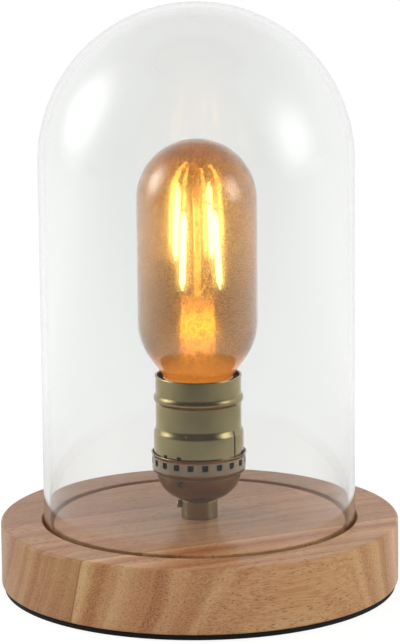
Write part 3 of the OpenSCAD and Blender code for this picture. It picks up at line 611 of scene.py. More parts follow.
@dataclass(frozen=True)
class Glass:
    """Blown or drawn glass. Lamp light passes it straight, so that it throws no hard shadow."""

    name: str
    colour: str
    # What it leaves of the light that would throw its shadow
    shadow: str
    roughness: float = 0.0
    ior: float = 1.5
    # Share of its skin that scatters light
    haze: float = 0.0
    # Size of the spots in its skin, how rough they are and their colour
    speck: float = 0.0
    spots: float = 0.0
    streak: str = ""
    # Noise over the first of these makes a spot, which is full at the second
    spot_limits: Point = (0.515, 0.565)
    # A lacquer turns to this colour between these heights
    crown: str = ""
    crown_z: Point = (158.0, 170.0)
    # Light goes a longer way through the wall where it is seen edge on, and takes this colour
    edge: str = ""
    edge_from: float = 0.3
    edge_share: float = 0.9
    # Painted glow: the lamp's neck is given emission, standing in for the light that its wall pipes
    # down, from these heights down
    painted_neck_glow: float = 0.0
    neck_z: Point = (94.0, 82.0)
    painted_neck_colour: str = "#ff9a24"
    # A glossy lacquer over the glass
    coat: float = 0.0
    coat_roughness: float = 0.03
    coat_ior: float = 2.05
    # Depth of a crazed skin's bumps, the size of its plates and how crooked its cracks are
    ripple: float = 0.0
    plate: float = 3.4
    crook: tuple[float, float, float] = (2.5, 2.5, 4.0)
    # Painted glow: how brightly its cracks are given emission, in which colour, and the heights
    # down which it goes dark
    glow: float = 0.0
    painted_crack_colour: str = "#ffe070"
    plates: Sequence[tuple[float, str]] = ((0.08, "#e89a30"), (0.26, "#3a1802"))
    foot_z: Point = (100.0, 84.0)
    # The painted glow is dimmer at a stem's pinched top, more so between these heights
    tip_z: Point = (0.0, 0.0)
    painted_glow_tip_dim: float = 0.8

    def make(self) -> bpy.types.Material:
        """Makes the material.

        Returns:
            The finished material.
        """
        made, node = new_material(self.name)
        skin = {
            "Base Color": self.colour, "Roughness": self.roughness, "IOR": self.ior,
            "Transmission Weight": 1.0 - self.haze, "Coat Weight": self.coat,
            "Coat Roughness": self.coat_roughness, "Coat IOR": self.coat_ior,
        }
        if self.speck:
            skin |= self.spotted(node)
        if self.painted_neck_glow:
            skin |= self.painted_glow_in_neck(node)
        if self.ripple:
            skin |= self.crazing_and_painted_glow(node)
        shader = node("BsdfPrincipled", skin)
        clear = node("BsdfTransparent", (self.shadow,))
        shadow_ray = node("LightPath").outputs["Is Shadow Ray"]
        node("OutputMaterial", (node("MixShader", (shadow_ray, shader, clear)),))
        return made

    def by_height(
        self, node: Adder, limits: Point, most: float = 1.0, **settings: object
    ) -> bpy.types.Node:
        """Share that grows from 0 at the first height to the most at the second.

        Args:
            node: Adds a node to the material's tree.
            limits: The two heights.
            most: The share at the second height and past it.
            settings: More settings of the node, such as its kind of curve.

        Returns:
            The node that gives the share.
        """
        height = node("SeparateXYZ", (node("TexCoord").outputs["Object"],)).outputs["Z"]
        start, end = limits
        return node("MapRange", (height, start * MM, end * MM, 0.0, most), **settings)

    def spotted(self, node: Adder) -> dict[str, bpy.types.Node]:
        """Spots in the skin, and the colours of a lacquer's top and edges.

        Args:
            node: Adds a node to the material's tree.

        Returns:
            What the skin's roughness and colour then come from.
        """
        place = node("TexCoord").outputs["Object"]
        grains = node("TexNoise", {"Vector": place, "Scale": 1 / (self.speck * MM), "Detail": 3.0})
        rough = node("MapRange", (grains, *self.spot_limits, self.roughness, self.spots))
        tone = node("ValToRGB", (grains,), [(0.4, self.colour), (0.7, self.streak or self.colour)])
        if self.crown:
            share = self.by_height(node, self.crown_z)
            tone = node("Mix", {0: share, 6: tone, 7: self.crown}, data_type="RGBA")
        if self.edge:
            facing = node("LayerWeight", (0.5,)).outputs["Facing"]
            share = node(
                "MapRange", (facing, self.edge_from, 1.0, 0.0, self.edge_share),
                interpolation_type="SMOOTHSTEP",
            )
            tone = node("Mix", {0: share, 6: tone, 7: self.edge}, data_type="RGBA")
        return {"Roughness": rough, "Base Color": tone}

    def painted_glow_in_neck(self, node: Adder) -> dict[str, object]:
        """Painted glow: emission in the neck, for the light that leaves the wall there."""
        painted_glow_share = self.by_height(node, self.neck_z, self.painted_neck_glow, interpolation_type="SMOOTHSTEP")
        return {"Emission Color": self.painted_neck_colour, "Emission Strength": painted_glow_share}

    def crazing_and_painted_glow(self, node: Adder) -> dict[str, bpy.types.Node]:
        """Cracks in the skin, and a painted glow along them that stands in for the filaments'
        light, darkening further down.

        Args:
            node: Adds a node to the material's tree.

        Returns:
            What the skin's bumps and painted glow then come from.
        """
        place = node("TexCoord").outputs["Object"]
        scale = 1 / (self.crook[0] * MM)
        noise = node("TexNoise", {"Vector": place, "Scale": scale, "Detail": 3.0})
        crook = [size * MM for size in self.crook]
        bent = node("VectorMath", (noise.outputs["Color"], crook, place), operation="MULTIPLY_ADD")
        plates = {"Vector": bent, "Scale": 1 / (self.plate * MM)}
        cracks = node("TexVoronoi", plates, feature="DISTANCE_TO_EDGE")
        bump = node("Bump", {"Height": cracks, "Strength": 0.9, "Distance": self.ripple * MM})
        # Painted glow: emission bright along the cracks and dark on the plates, going black lower
        # down
        tone = node("ValToRGB", (cracks,), [(0.0, self.painted_crack_colour), *self.plates])
        dim = self.by_height(node, self.foot_z)
        if self.tip_z[1]:
            faint = self.by_height(node, self.tip_z, self.painted_glow_tip_dim)
            dim = node("Math", (dim, faint), operation="MAXIMUM")
        tone = node("Mix", {0: dim, 6: tone, 7: "#000000"}, data_type="RGBA")
        power = glow_power(node, self.glow)
        return {"Normal": bump, "Emission Color": tone, "Emission Strength": power}


@dataclass(frozen=True)
class Lit:
    """The coat of a lit filament: a warm glow with paler beads where its chips sit."""

    name: str
    glow: str
    chip_glow: str
    strength: float
    # Size of a bead, and the coat's own colour under its light
    bead: float = 1.3
    coat: str = "#f2c460"
    roughness: float = 0.6

    def make(self) -> bpy.types.Material:
        """Makes the material.

        Returns:
            The finished material.
        """
        made, node = new_material(self.name)
        place = node("TexCoord").outputs["Object"]
        beads = node("TexNoise", {"Vector": place, "Scale": 1 / (self.bead * MM), "Detail": 1.0})
        tone = node("ValToRGB", (beads,), [(0.35, self.glow), (0.65, self.chip_glow)])
        shader = node("BsdfPrincipled", {
            "Base Color": self.coat, "Roughness": self.roughness,
            "Emission Color": tone, "Emission Strength": glow_power(node, self.strength),
        })
        node("OutputMaterial", (shader,))
        return made


@dataclass(frozen=True)
class Timber:
    """Oiled and lacquered rubberwood, glued up from staves, with broad rings and short pores."""

    name: str = "rubberwood_satin"
    # The grain runs to the right and back
    grain_angle: float = 26.0
    stave: float = 58.0
    first_seam: float = -31.3
    # The glued faces lean, so a seam shifts this share of its height
    slant: float = 0.2
    # Glue shows this far to both sides of a seam
    glue_line: float = 0.3
    ring: float = 7.0
    # The rings wander by half of these across and up the grain, over this length
    wander: Point = (8.0, 14.0)
    wander_length: float = 70.0
    heart_y: float = 20.0
    heart_z: float = 40.0
    heart_spread: float = 52.0
    stave_seed: float = 11.0
    # Pores are drawn 0.4 across, about twice their real width, so that they show
    pore: float = 0.4
    pore_length: float = 2.6
    fibre: float = 0.55
    fibre_length: float = 45.0
    # Sizes along, across and up the grain of paler patches and of the places where pores crowd
    blotch: tuple[float, float, float] = (60.0, 26.0, 26.0)
    crowd: tuple[float, float, float] = (30.0, 7.0, 7.0)
    # Noise over this limit is a pore, and over less where pores crowd
    pore_limit: float = 0.70
    pore_crowding: float = 0.16
    pore_edge: float = 0.07
    # How much fibres and rings count for in the wood's tone
    fibre_share: float = 0.45
    ring_share: float = 0.6
    # The darkest stave takes on this much of its tone, and the others up to the spread less
    stave_dark: float = 0.56
    stave_spread: float = 0.8
    stave_tone: str = "#7c5338"
    pore_dark: float = 0.6
    glue_dark: float = 0.4
    pore_tone: str = "#6f4128"
    # Depth of a pore, and the height of a fibre as a share of it
    pore_depth: float = 0.05
    fibre_height: float = 0.35
    roughness: float = 0.3
    fibre_roughness: float = 0.12
    pore_roughness: float = 0.2
    ior: float = 1.48
    gloss: float = 0.15
    lacquer: float = 0.16
    lacquer_roughness: float = 0.14

    def marks(
        self, node: Adder, vector: bpy.types.Node, size: Sequence[float], detail: float
    ) -> bpy.types.Node:
        """Marks that measure a size along, across and up the grain."""
        spread = node("Mapping", {"Vector": vector, "Scale": [1 / (s * MM) for s in size]})
        return node("TexNoise", {"Vector": spread, "Scale": 1.0, "Detail": detail})

    def make(self) -> bpy.types.Material:
        """Makes the material.

        Returns:
            The finished material.
        """
        made, node = new_material(self.name)
        place = node("TexCoord").outputs["Object"]
        angle = math.radians(-self.grain_angle)
        turned = node("Mapping", {"Vector": place, "Rotation": (0, 0, angle)})
        scale = 1 / (self.wander_length * MM)
        drift = node("TexNoise", {"Vector": turned, "Scale": scale, "Detail": 2.0}).outputs["Color"]
        offset = node("VectorMath", (drift, (0.5, 0.5, 0.5)), operation="SUBTRACT")
        wander = (0.0, *[size * MM for size in self.wander])
        eased = node("VectorMath", (offset, wander), operation="MULTIPLY")
        along = node("VectorMath", (turned, eased), operation="ADD")
        across = node("SeparateXYZ", (along,))
        raw = node("SeparateXYZ", (turned,))

        # Staves are glued side by side, each from another place in the trunk
        leaned = node(
            "Math", (raw.outputs["Z"], self.slant, raw.outputs["Y"]), operation="MULTIPLY_ADD"
        )
        past = node("Math", (leaned, self.first_seam * MM), operation="SUBTRACT")
        count = node("Math", (past, self.stave * MM), operation="DIVIDE")
        stave = node("Math", (count,), operation="FLOOR")
        seed = node("Math", (stave, self.stave_seed), operation="ADD")
        chance = node("TexWhiteNoise", {"W": seed}, noise_dimensions="1D")
        shifted = node("Math", (count, 0.5), operation="ADD")
        share = node("Math", (shifted,), operation="FRACT")
        centred = node("Math", (share, 0.5), operation="SUBTRACT")
        seam = node("Math", (centred,), operation="ABSOLUTE")
        glue = node("Math", (seam, self.glue_line / self.stave), operation="LESS_THAN")

        # Growth rings about the heart, which lies at another place for each stave
        spread, nearest = self.heart_spread * MM, self.heart_y * MM
        heart = node("Math", (chance, spread, nearest), operation="MULTIPLY_ADD")
        dy = node("Math", (across.outputs["Y"], heart), operation="SUBTRACT")
        dz = node("Math", (across.outputs["Z"], self.heart_z * MM), operation="SUBTRACT")
        dz_square = node("Math", (dz, dz), operation="MULTIPLY")
        square = node("Math", (dy, dy, dz_square), operation="MULTIPLY_ADD")
        distance = node("Math", (square,), operation="SQRT")
        years = node("Math", (distance, self.ring * MM), operation="DIVIDE")
        ring = node("TexNoise", {"W": years, "Scale": 1.0, "Detail": 3.0}, noise_dimensions="1D")

        fibre = self.marks(node, along, (self.fibre_length, self.fibre, self.fibre), 3.0)
        blotch = self.marks(node, turned, self.blotch, 2.0)
        pores = self.marks(node, turned, (self.pore_length, self.pore, self.pore), 1.0)
        where = self.marks(node, along, self.crowd, 2.0)
        limit = node(
            "Math", (where, -self.pore_crowding, self.pore_limit), operation="MULTIPLY_ADD"
        )
        over = node("Math", (pores, limit), operation="SUBTRACT")
        pore = node("MapRange", (over, 0.0, self.pore_edge))

        ring_part = node("Math", (ring, self.ring_share), operation="MULTIPLY")
        streaks = node("Math", (fibre, self.fibre_share, ring_part), operation="MULTIPLY_ADD")
        wood = node("ValToRGB", (streaks,), [
            (0.34, "#aa7a59"), (0.46, "#c49872"), (0.58, "#d3ab84"), (0.72, "#ddbc93"),
        ])
        warm = node("ValToRGB", (blotch,), [(0.38, "#c99f86"), (0.62, "#d8bf92")])
        tinted = node("Mix", {0: 0.5, 6: wood, 7: warm}, data_type="RGBA", blend_type="SOFT_LIGHT")
        shade = node(
            "Math", (chance, -self.stave_spread, self.stave_dark), operation="MULTIPLY_ADD"
        )
        shaded = node("Mix", {0: shade, 6: tinted, 7: self.stave_tone}, data_type="RGBA")
        pore_part = node("Math", (pore, self.pore_dark), operation="MULTIPLY")
        glue_part = node("Math", (glue, self.glue_dark), operation="MULTIPLY")
        dark = node("Math", (pore_part, glue_part), operation="MAXIMUM")
        tone = node("Mix", {0: dark, 6: shaded, 7: self.pore_tone}, data_type="RGBA")

        fibre_rise = node("Math", (fibre, self.fibre_height), operation="MULTIPLY")
        height = node("Math", (pore, -1.0, fibre_rise), operation="MULTIPLY_ADD")
        bump = node("Bump", {"Height": height, "Strength": 0.5, "Distance": self.pore_depth * MM})
        fibre_rough = node(
            "Math", (fibre, self.fibre_roughness, self.roughness), operation="MULTIPLY_ADD"
        )
        rough = node("Math", (pore, self.pore_roughness, fibre_rough), operation="MULTIPLY_ADD")
        shader = node("BsdfPrincipled", {
            "Base Color": tone, "Roughness": rough, "IOR": self.ior,
            "Specular IOR Level": self.gloss, "Normal": bump, "Coat Weight": self.lacquer,
            "Coat Roughness": self.lacquer_roughness, "Coat IOR": self.ior,
        })
        node("OutputMaterial", (shader,))
        return made


class Finishes:
    """The lamp's finishes, each made once and named for the real stuff, and for the painted light
    where one carries it.
    """

    def __init__(self) -> None:
        """Makes every material."""
        self.wood = Timber().make()
        # Closed-cell foam sheet, die-cut: dead black, with pores that only dull it
        self.foam = Moulded("closed_cell_foam", "#0c0c0c", "#070707", 0.85, 0.5, 0.08).make()
        # Injection-moulded nylon with a slight spark-eroded grain
        self.nylon = Moulded("black_nylon", "#161616", "#101010", 0.45, 0.3).make()
        # Zinc-plated steel: bluish grey, dulled by handling
        zinc = Metal("zinc_plated_steel", "#b9bcbd", "#8f9293", 0.32, mark=0.3, patch=6.0)
        self.zinc = zinc.make()
        # The cap's screw is painted dark, as painted shade for the hole that it sits in, with paler
        # patches of steel
        self.screw = Metal("dark_steel_painted_shade", "#8f8b80", "#2b2a28", 0.3, mark=0.3, patch=1.2).make()
        # Antiqued brass: darkened, brushed back on the lathe and lacquered, so bands stay yellowish
        brass = Metal("antiqued_brass", "#aea076", "#988860", 0.13, Grain.TURNED, 0.12, 16.0, 0.004)
        self.brass = brass.make()
        # The shell's skirt below the cap's lip is painted black, as painted shade behind the
        # windows
        self.sleeve = replace(brass, name="antiqued_brass_sleeve_painted_shade", painted_shade_below=51.4).make()
        # The cap is given a browner colour: a painted reflection of the wooden base in its band and
        # bowl
        brass_with_painted_reflection = replace(brass, name="antiqued_brass_cap_painted_reflection", colour="#a8967c", patina="#8a7860")
        self.cap = brass_with_painted_reflection.make()
        # Rolled brass strip, still bright
        self.strip = Metal("rolled_brass", "#d8b873", "#b8934f", 0.25, mark=0.2, patch=5.0).make()
        # Pressed board of the insulating sleeve, dark brown and matt
        self.board = Moulded("pressed_board", "#3a2f26", "#2c231c", 0.8, 0.3, 0.04).make()
        # Phenolic moulding: dark brown with a low gloss
        self.phenolic = Moulded("brown_phenolic", "#2e1d14", "#21140e", 0.3, 0.6, 0.01, 1.6).make()
        # Extruded single-core insulation
        self.live = Moulded("brown_pvc", "#6b3f22", "#5c3419", 0.4, 0.3).make()
        self.neutral = Moulded("blue_pvc", "#2c5a9c", "#234b86", 0.4, 0.3).make()
        # Translucent white polyamide of the terminal block
        self.polyamide = Moulded("white_polyamide", "#e6e5de", "#d6d5cc", 0.42, 0.4).make()
        # Clear soda-lime dome: nearly colourless, with fire-polished faces
        self.clear = Glass("soda_lime_glass", "#f7f8f7", "#f2f4f3").make()
        # Amber-lacquered lamp glass: a thin coat whose spots scatter the filaments' light, and a
        # painted glow in its neck
        self.amber = Glass(
            "amber_lacquered_glass_painted_neck_glow", "#c4ac78", "#e0b070", haze=0.08, speck=0.22, spots=0.45,
            streak="#c4984c", crown="#c88c10", crown_z=(148.0, 172.0), painted_neck_glow=0.29, coat=1.0,
            edge="#a07236",
        ).make()
        # Stem glass, crazed where it was pinched on the wires, with a painted glow in its cracks
        self.stem = Glass(
            "crazed_stem_glass_painted_glow", "#f8edd6", "#f0e0c0", haze=0.25, speck=1.4, spots=0.25,
            streak="#fff0c8", ripple=1.4, glow=3.0, tip_z=(103.0, 110.5),
        ).make()
        # The rod stands between the filaments, and a painted glow in its cracks stands in for their
        # light through it
        self.rod = Glass(
            "drawn_rod_glass_painted_glow", "#fbf4e0", "#f0e0c0", 0.02, haze=0.12, speck=1.4, spots=0.2,
            streak="#fff4d0", ripple=0.6, glow=2.4, painted_crack_colour="#ffe89a",
        ).make()
        # Phosphor in silicone, lit: white-hot to the eye, with a warm glow
        self.lit = Lit("lit_phosphor_coat", "#fff0b0", "#fff8d8", 90.0).make()
        # Drawn nickel wire
        self.wire = Metal("nickel_wire", "#b8b2a4", "#8d877a", 0.3, Grain.DRAWN, 0.1, 3.0).make()
        # Nickel-plated brass of the lamp's cap, rolled thin
        nickel = Metal("nickel_plated_cap", "#c2bcae", "#9f998b", 0.22, Grain.TURNED, 0.15, 6.0)
        self.nickel = nickel.make()
        # Fused black glass that holds the cap's contact
        self.vitrite = Moulded("black_vitrite", "#0d0d0f", "#08080a", 0.15, 0.8, 0.02, 1.55).make()
        # Lead-free solder, frozen with a dull skin
        self.solder = Metal("solder", "#c3c4c6", "#9fa0a3", 0.38, mark=0.4, patch=3.0).make()
        # Green solder mask over glass laminate
        self.mask = Moulded("green_solder_mask", "#2f6b41", "#255636", 0.35, 0.5).make()


def dress(
    piece: bpy.types.Object, material: bpy.types.Material, slot: str, body: str, *nodes: str
) -> None:
    """Gives a finished piece its material and its body, and hides the nodes that it stands for.

    Args:
        piece: The piece, in its place.
        material: The material for all its faces.
        slot: The record's material slot. Not used.
        body: The body that the piece rides on.
        nodes: The nodes that it replaces.
    """
    piece.data.materials.clear()
    piece.data.materials.append(material)
    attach(piece, body)
    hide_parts(*nodes)
    LOG.info("%s: %d faces, rides on %s", piece.name, len(piece.data.polygons), body)


def keep(name: str, material: bpy.types.Material) -> None:
    """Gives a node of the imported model, whose shape is right as it is, its material.

    Args:
        name: The node's name.
        material: The material for all its faces.
    """
    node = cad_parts[name]
    node.data.materials.clear()
    node.data.materials.append(material)
    LOG.info("%s: kept from the packed model", name)


@dataclass
class WoodenBase:
    """The turned base with the dome's groove, its foam pad and the cord inlet."""

    finishes: Finishes
    edge: float = 1.2
    groove_depth: float = 8.0
    groove_outer_gap: float = 0.75
    groove_inner_gap: float = 1.55
    groove_ease: float = 0.35
    dome_wall: float = 2.2
    recess_r: float = 30.0
    recess_top: float = 15.0
    bore_r: float = 5.2
    channel_r: float = 4.0
    flange_sink: float = 4.5
    cord_z: float = 10.0
    flange_gap: float = 0.1
    pilot_r: float = 1.7
    pilot_y: float = -19.0
    pilot_h: float = 8.5
    pad_edge: float = 0.5
    bush_bore: float = 2.9
    bush_wall: float = 1.0
    bush_flange_t: float = 2.0
    bush_mouth: float = 0.5

    def build_wood(self) -> None:
        """Turns the wooden base and bores its cord channel."""
        low, high = node_box("wood_base")
        dome_r = node_box("glass_dome")[1].x
        outer, top, foot = high.x, high.z, low.z
        groove_in = dome_r - self.dome_wall - self.groove_inner_gap
        groove_out = dome_r + self.groove_outer_gap
        floor = top - self.groove_depth
        ease, edge = self.groove_ease, self.edge
        wood = Workshop.turn("turned_base", rings([
            (self.bore_r, top),
            *arc(groove_in - ease, top - ease, ease, 90, 0, 4),
            (groove_in, floor), (groove_out, floor),
            *arc(groove_out + ease, top - ease, ease, 180, 90, 4),
            *arc(outer - edge, top - edge, edge, 90, 0, 8),
            *arc(outer - edge, foot + edge, edge, 0, -90, 8),
            (self.recess_r, foot), (self.recess_r, self.recess_top),
            (self.bore_r, self.recess_top), (self.bore_r, top),
        ]), sides=192)
        lying = Matrix.Rotation(math.radians(-90), 4, "X")
        back = Matrix.Translation((0, 0, self.cord_z * MM)) @ lying
        channel = Workshop.settle(Workshop.rod(self.channel_r, outer + OVER, sides=48), back)
        flange_y = outer - self.flange_sink
        flange_r = node_box("cord_inlet_bush")[1].x + self.flange_gap
        sunk = back @ Matrix.Translation((0, 0, flange_y * MM))
        seat = Workshop.settle(Workshop.rod(flange_r, outer, sides=48), sunk)
        pilot = Workshop.settle(
            Workshop.rod(self.pilot_r, self.pilot_h + OVER, sides=24),
            Matrix.Translation((0, self.pilot_y * MM, (self.recess_top - OVER) * MM)),
        )
        for cutter in (channel, seat, pilot):
            Workshop.cut(wood, [cutter])
        Workshop.smooth(wood)
        dress(wood, self.finishes.wood, "rubberwood", "base", "wood_base")

    def build_pad(self) -> None:
        """Cuts the pad from foam sheet, its edge a little rounded."""
        low, high = node_box("base_pad")
        edge = self.pad_edge
        pad = Workshop.turn("foam_pad", rings([
            (0, high.z), *arc(high.x - edge, high.z - edge, edge, 90, 0, 4),
            *arc(high.x - edge, low.z + edge, edge, 0, -90, 4), (0, low.z),
        ]), sides=160)
        Workshop.smooth(pad)
        dress(pad, self.finishes.foam, "black_foam", "base", "base_pad")

    def build_bush(self) -> None:
        """Turns the cord inlet bush with a rounded mouth."""
        low, high = node_box("cord_inlet_bush")
        bore, outer, flange = self.bush_bore, self.bush_bore + self.bush_wall, high.x
        length = high.y - low.y
        mouth = self.bush_mouth
        step = length - self.bush_flange_t
        bush = Workshop.turn("cord_bush", rings([
            (bore, 0), (outer, 0), (outer, step), (flange, step),
            *arc(flange - mouth, length - mouth, mouth, 0, 90, 5),
            *arc(bore + mouth, length - mouth, mouth, 90, 180, 5), (bore, 0),
        ]), sides=64)
        turned = Matrix.Rotation(math.radians(-90), 4, "X")
        Workshop.settle(bush, Matrix.Translation((0, low.y * MM, self.cord_z * MM)) @ turned)
        Workshop.smooth(bush)
        dress(bush, self.finishes.nylon, "black_plastic", "base", "cord_inlet_bush")

    def build(self) -> None:
        """Builds and dresses the base."""
        self.build_wood()
        self.build_pad()
        self.build_bush()


@dataclass
class GlassDome:
    """The lift-off dome: one blown wall with a fire-rounded rim."""

    finishes: Finishes
    wall: float = 2.2
    steps: int = 124
    sides: int = 224

    def build(self) -> None:
        """Builds and dresses the dome."""
        low, high = node_box("glass_dome")
        radius = high.x
        crown = high.z - radius
        half = self.wall / 2
        dome = Workshop.turn("dome_glass", rings([
            *arc(0, crown, radius, 90, 0, self.steps),
            *arc(radius - half, low.z + half, half, 0, -180, 10),
            *arc(0, crown, radius - self.wall, 0, 90, self.steps),
        ]), self.sides)
        Workshop.smooth(dome, SHARP_ON_BLOWN)
        dress(dome, self.finishes.clear, "clear_glass", "dome", "glass_dome")


@dataclass
class LampHolder:
    """The antiqued holder: neck, cap with its windows, and the shell that snaps into it."""

    finishes: Finishes
    sheet: float = 0.6
    neck_bore: float = 5.0
    spigot_r: float = 6.0
    neck_ease: float = 0.3
    bowl_h: float = 10.7
    foot_r: float = 1.8
    band_h: float = 7.8
    lip_h: float = 1.1
    lip_flare: float = 0.35
    spigot_gap: float = 0.05
    windows: int = 20
    window: float = 2.3
    window_drop: float = 2.9
    window_angle: float = -82.4
    shell_r: float = 16.1
    skirt_r: float = 16.9
    bead_drop: float = 8.7
    bead_out: float = 0.75
    bead_w: float = 3.4
    shoulder_drop: float = 19.2
    shoulder_h: float = 2.8
    roll: float = 0.3
    slit_angle: float = -37.6
    slit_w: float = 0.75
    slit_h: float = 9.8
    slit_point: float = 2.0
    notch_angles: tuple[float, ...] = (-137.7, -116.3)
    notch_w: float = 1.8
    notch_h: float = 1.1
    cap_screw_angle: float = -115.9
    cap_screw_drop: float = 2.0
    cap_screw_d: float = 2.3
    cap_screw_sink: float = 0.5
    # The screw's inner end, and where its hole starts inside the bowl
    cap_screw_from: float = 9.6
    cap_hole_from: float = 13.0
    set_screw_angle: float = 180.0
    set_screw_d: float = 3.0
    slot: Point = (0.6, 0.7)
    # Cutters for the shell start this far under its face and reach this far out
    cut_depth: float = 1.0
    reach: float = 4.0

    def __post_init__(self) -> None:
        """Takes the holder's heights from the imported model."""
        self.deck = node_box("wood_base")[1].z
        self.neck_top = node_box("holder_cap")[0].z
        self.neck_r = node_box("holder_neck")[1].x
        self.band_z = self.neck_top + self.bowl_h
        self.lip_z = node_box("holder_cap")[1].z
        self.band_r = node_box("holder_cap")[1].x - self.lip_flare
        self.bowl_r = self.band_r - self.foot_r
        self.rim_z = node_box("holder_shell")[1].z
        self.shell_z = node_box("holder_shell")[0].z
        self.bowl_depth = self.bowl_h / math.sqrt(1 - (self.neck_r / self.bowl_r) ** 2)

    def bowl(self, radius: float, depth: float, steps: int = 16) -> list[Point]:
        """Outline of the bowl, a quarter of an ellipse, from the neck out to the band's foot.

        Args:
            radius: The ellipse's radius at the band's foot.
            depth: Its depth on the axis.
            steps: Number of straight steps along it.

        Returns:
            The outline's points.
        """
        start = math.acos(self.neck_r / radius)
        angles = [start * (1 - i / steps) for i in range(steps + 1)]
        return [(radius * math.cos(a), self.band_z - depth * math.sin(a)) for a in angles]

    def build_neck(self) -> None:
        """Turns the neck with its spigot and drills it for the set screw."""
        top = node_box("holder_neck")[1].z
        ease = self.neck_ease
        neck = Workshop.turn("neck_collar", rings([
            (self.neck_bore, self.deck), (self.neck_r - ease, self.deck),
            *arc(self.neck_r - ease, self.deck + ease, ease, -60, 0, 3),
            *arc(self.neck_r - ease, self.neck_top - ease, ease, 0, 90, 4),
            (self.spigot_r, self.neck_top), (self.spigot_r, top), (self.neck_bore, top),
            (self.neck_bore, self.deck),
        ]), sides=96)
        low, high = node_box("neck_set_screw")
        z = (low.z + high.z) / 2
        hole = Workshop.rod(self.set_screw_d / 2 + SCREW_GAP, self.neck_r * 2, sides=32)
        Workshop.cut(neck, [Workshop.outwards(hole, self.set_screw_angle, 0, z)])
        Workshop.smooth(neck)
        dress(neck, self.finishes.brass, "antique_brass", "base", "holder_neck")
        inner = -high.x
        screw = Workshop.slotted_screw("grub_screw", self.set_screw_d, -low.x - inner, self.slot)
        Workshop.outwards(screw, self.set_screw_angle, inner, z)
        dress(screw, self.finishes.brass, "antique_brass", "base", "neck_set_screw")

    def build_cap(self) -> None:
        """Spins the cap's sheet and pierces its windows and screw hole."""
        inner_r, inner_depth = self.bowl_r - self.sheet, self.bowl_depth - self.sheet
        lip = self.lip_z - self.lip_h
        flare = self.band_r + self.lip_flare
        foot_z = self.band_z + self.foot_r
        floor_r = self.spigot_r + self.spigot_gap
        cap = Workshop.turn("cap_bowl", rings([
            (floor_r, self.neck_top),
            *self.bowl(self.bowl_r, self.bowl_depth),
            *arc(self.bowl_r, foot_z, self.foot_r, -90, 0)[1:],
            (self.band_r, lip), (flare - 0.1, self.lip_z - 0.3), (flare, self.lip_z - 0.15),
            (flare - 0.1, self.lip_z), (flare - self.sheet, self.lip_z),
            (self.band_r - self.sheet, lip),
            *arc(self.bowl_r, foot_z, self.foot_r - self.sheet, 0, -90),
            *self.bowl(inner_r, inner_depth)[::-1][1:],
            (floor_r, self.neck_top + self.sheet), (floor_r, self.neck_top),
        ]), sides=160)
        cutters = []
        for i in range(self.windows):
            window = Workshop.block(
                Vector((self.window, self.window, self.foot_r + OVER)),
                Vector((0, 0, (self.foot_r + OVER) / 2)),
            )
            angle = self.window_angle + 360 * i / self.windows
            z = self.lip_z - self.window_drop
            cutters.append(Workshop.outwards(window, angle, self.bowl_r, z))
        screw_z = self.band_z - self.cap_screw_drop
        hole = Workshop.rod(self.cap_screw_d / 2 + SCREW_GAP, self.band_r, sides=32)
        hole = Workshop.outwards(hole, self.cap_screw_angle, self.cap_hole_from, screw_z)
        cutters.append(hole)
        Workshop.cut(cap, cutters)
        Workshop.smooth(cap)
        dress(cap, self.finishes.cap, "antique_brass", "base", "holder_cap")
        start = self.cap_screw_from
        length = self.bowl_r - self.cap_screw_sink - start
        screw = Workshop.slotted_screw("cap_fixing_screw", self.cap_screw_d, length, self.slot)
        Workshop.outwards(screw, self.cap_screw_angle, start, screw_z)
        dress(screw, self.finishes.screw, "zinc_steel", "base", "cap_screw")

    def shell_radius(self, depth: float) -> float:
        """Outer radius of the shell at a depth under its rim, with its bead and shoulder.

        Args:
            depth: Depth under the rim.

        Returns:
            The radius there.
        """
        off = depth - self.bead_drop
        bead = 0.0
        if abs(off) < self.bead_w / 2:
            round_r = ((self.bead_w / 2) ** 2 + self.bead_out ** 2) / (2 * self.bead_out)
            bead = math.sqrt(round_r ** 2 - off ** 2) - round_r + self.bead_out
        share = min(1.0, max(0.0, (depth - self.shoulder_drop) / self.shoulder_h))
        step = (self.skirt_r - self.shell_r) * (1 - math.cos(math.pi * share)) / 2
        return self.shell_r + bead + step

    def build_shell(self) -> None:
        """Draws the shell with its bead, shoulder and rolled rim, and saws its spring slit."""
        depths = [self.roll, 2 * self.roll]
        depths += [self.bead_drop + self.bead_w * (i / 14 - 0.5) for i in range(15)]
        depths += [self.shoulder_drop + self.shoulder_h * i / 10 for i in range(11)]
        depths.append(self.rim_z - self.shell_z)
        outside = [(self.shell_radius(d), self.rim_z - d) for d in depths]
        inside = [(r - self.sheet, z) for r, z in outside[::-1]]
        lip, middle = self.shell_r + self.roll, self.shell_r + self.roll / 2
        inner = self.shell_r - self.sheet
        shell = Workshop.turn("holder_sleeve", rings([
            (middle, self.rim_z), (lip, self.rim_z - self.roll),
            *outside, *inside,
            (inner, self.rim_z - 0.1), (inner + 0.1, self.rim_z), (middle, self.rim_z),
        ]), sides=160)
        # Each cutter is its height over the cap's lip, its depth under it, its width and its angle
        upper = self.slit_h - self.slit_point
        cutters = [
            (upper, self.band_h, self.slit_w, self.slit_angle),
            (upper + self.slit_point, self.slit_point - upper, self.slit_w * 0.7, self.slit_angle),
        ]
        for third in (0, 120, 240):
            for angle in self.notch_angles:
                cutters.append((self.notch_h, self.band_h, self.notch_w, angle + third))
        for over, under, width, angle in cutters:
            cutter = Workshop.block(
                Vector((over + under, width, self.reach)),
                Vector(((under - over) / 2, 0, self.reach / 2)),
            )
            Workshop.outwards(cutter, angle, self.shell_r - self.cut_depth, self.lip_z)
            Workshop.cut(shell, [cutter])
        Workshop.smooth(shell)
        dress(shell, self.finishes.sleeve, "antique_brass", "base", "holder_shell")

    def build(self) -> None:
        """Builds and dresses the holder's metalwork and its board sleeve."""
        self.build_neck()
        self.build_cap()
        self.build_shell()
        keep("insulating_sleeve", self.finishes.board)


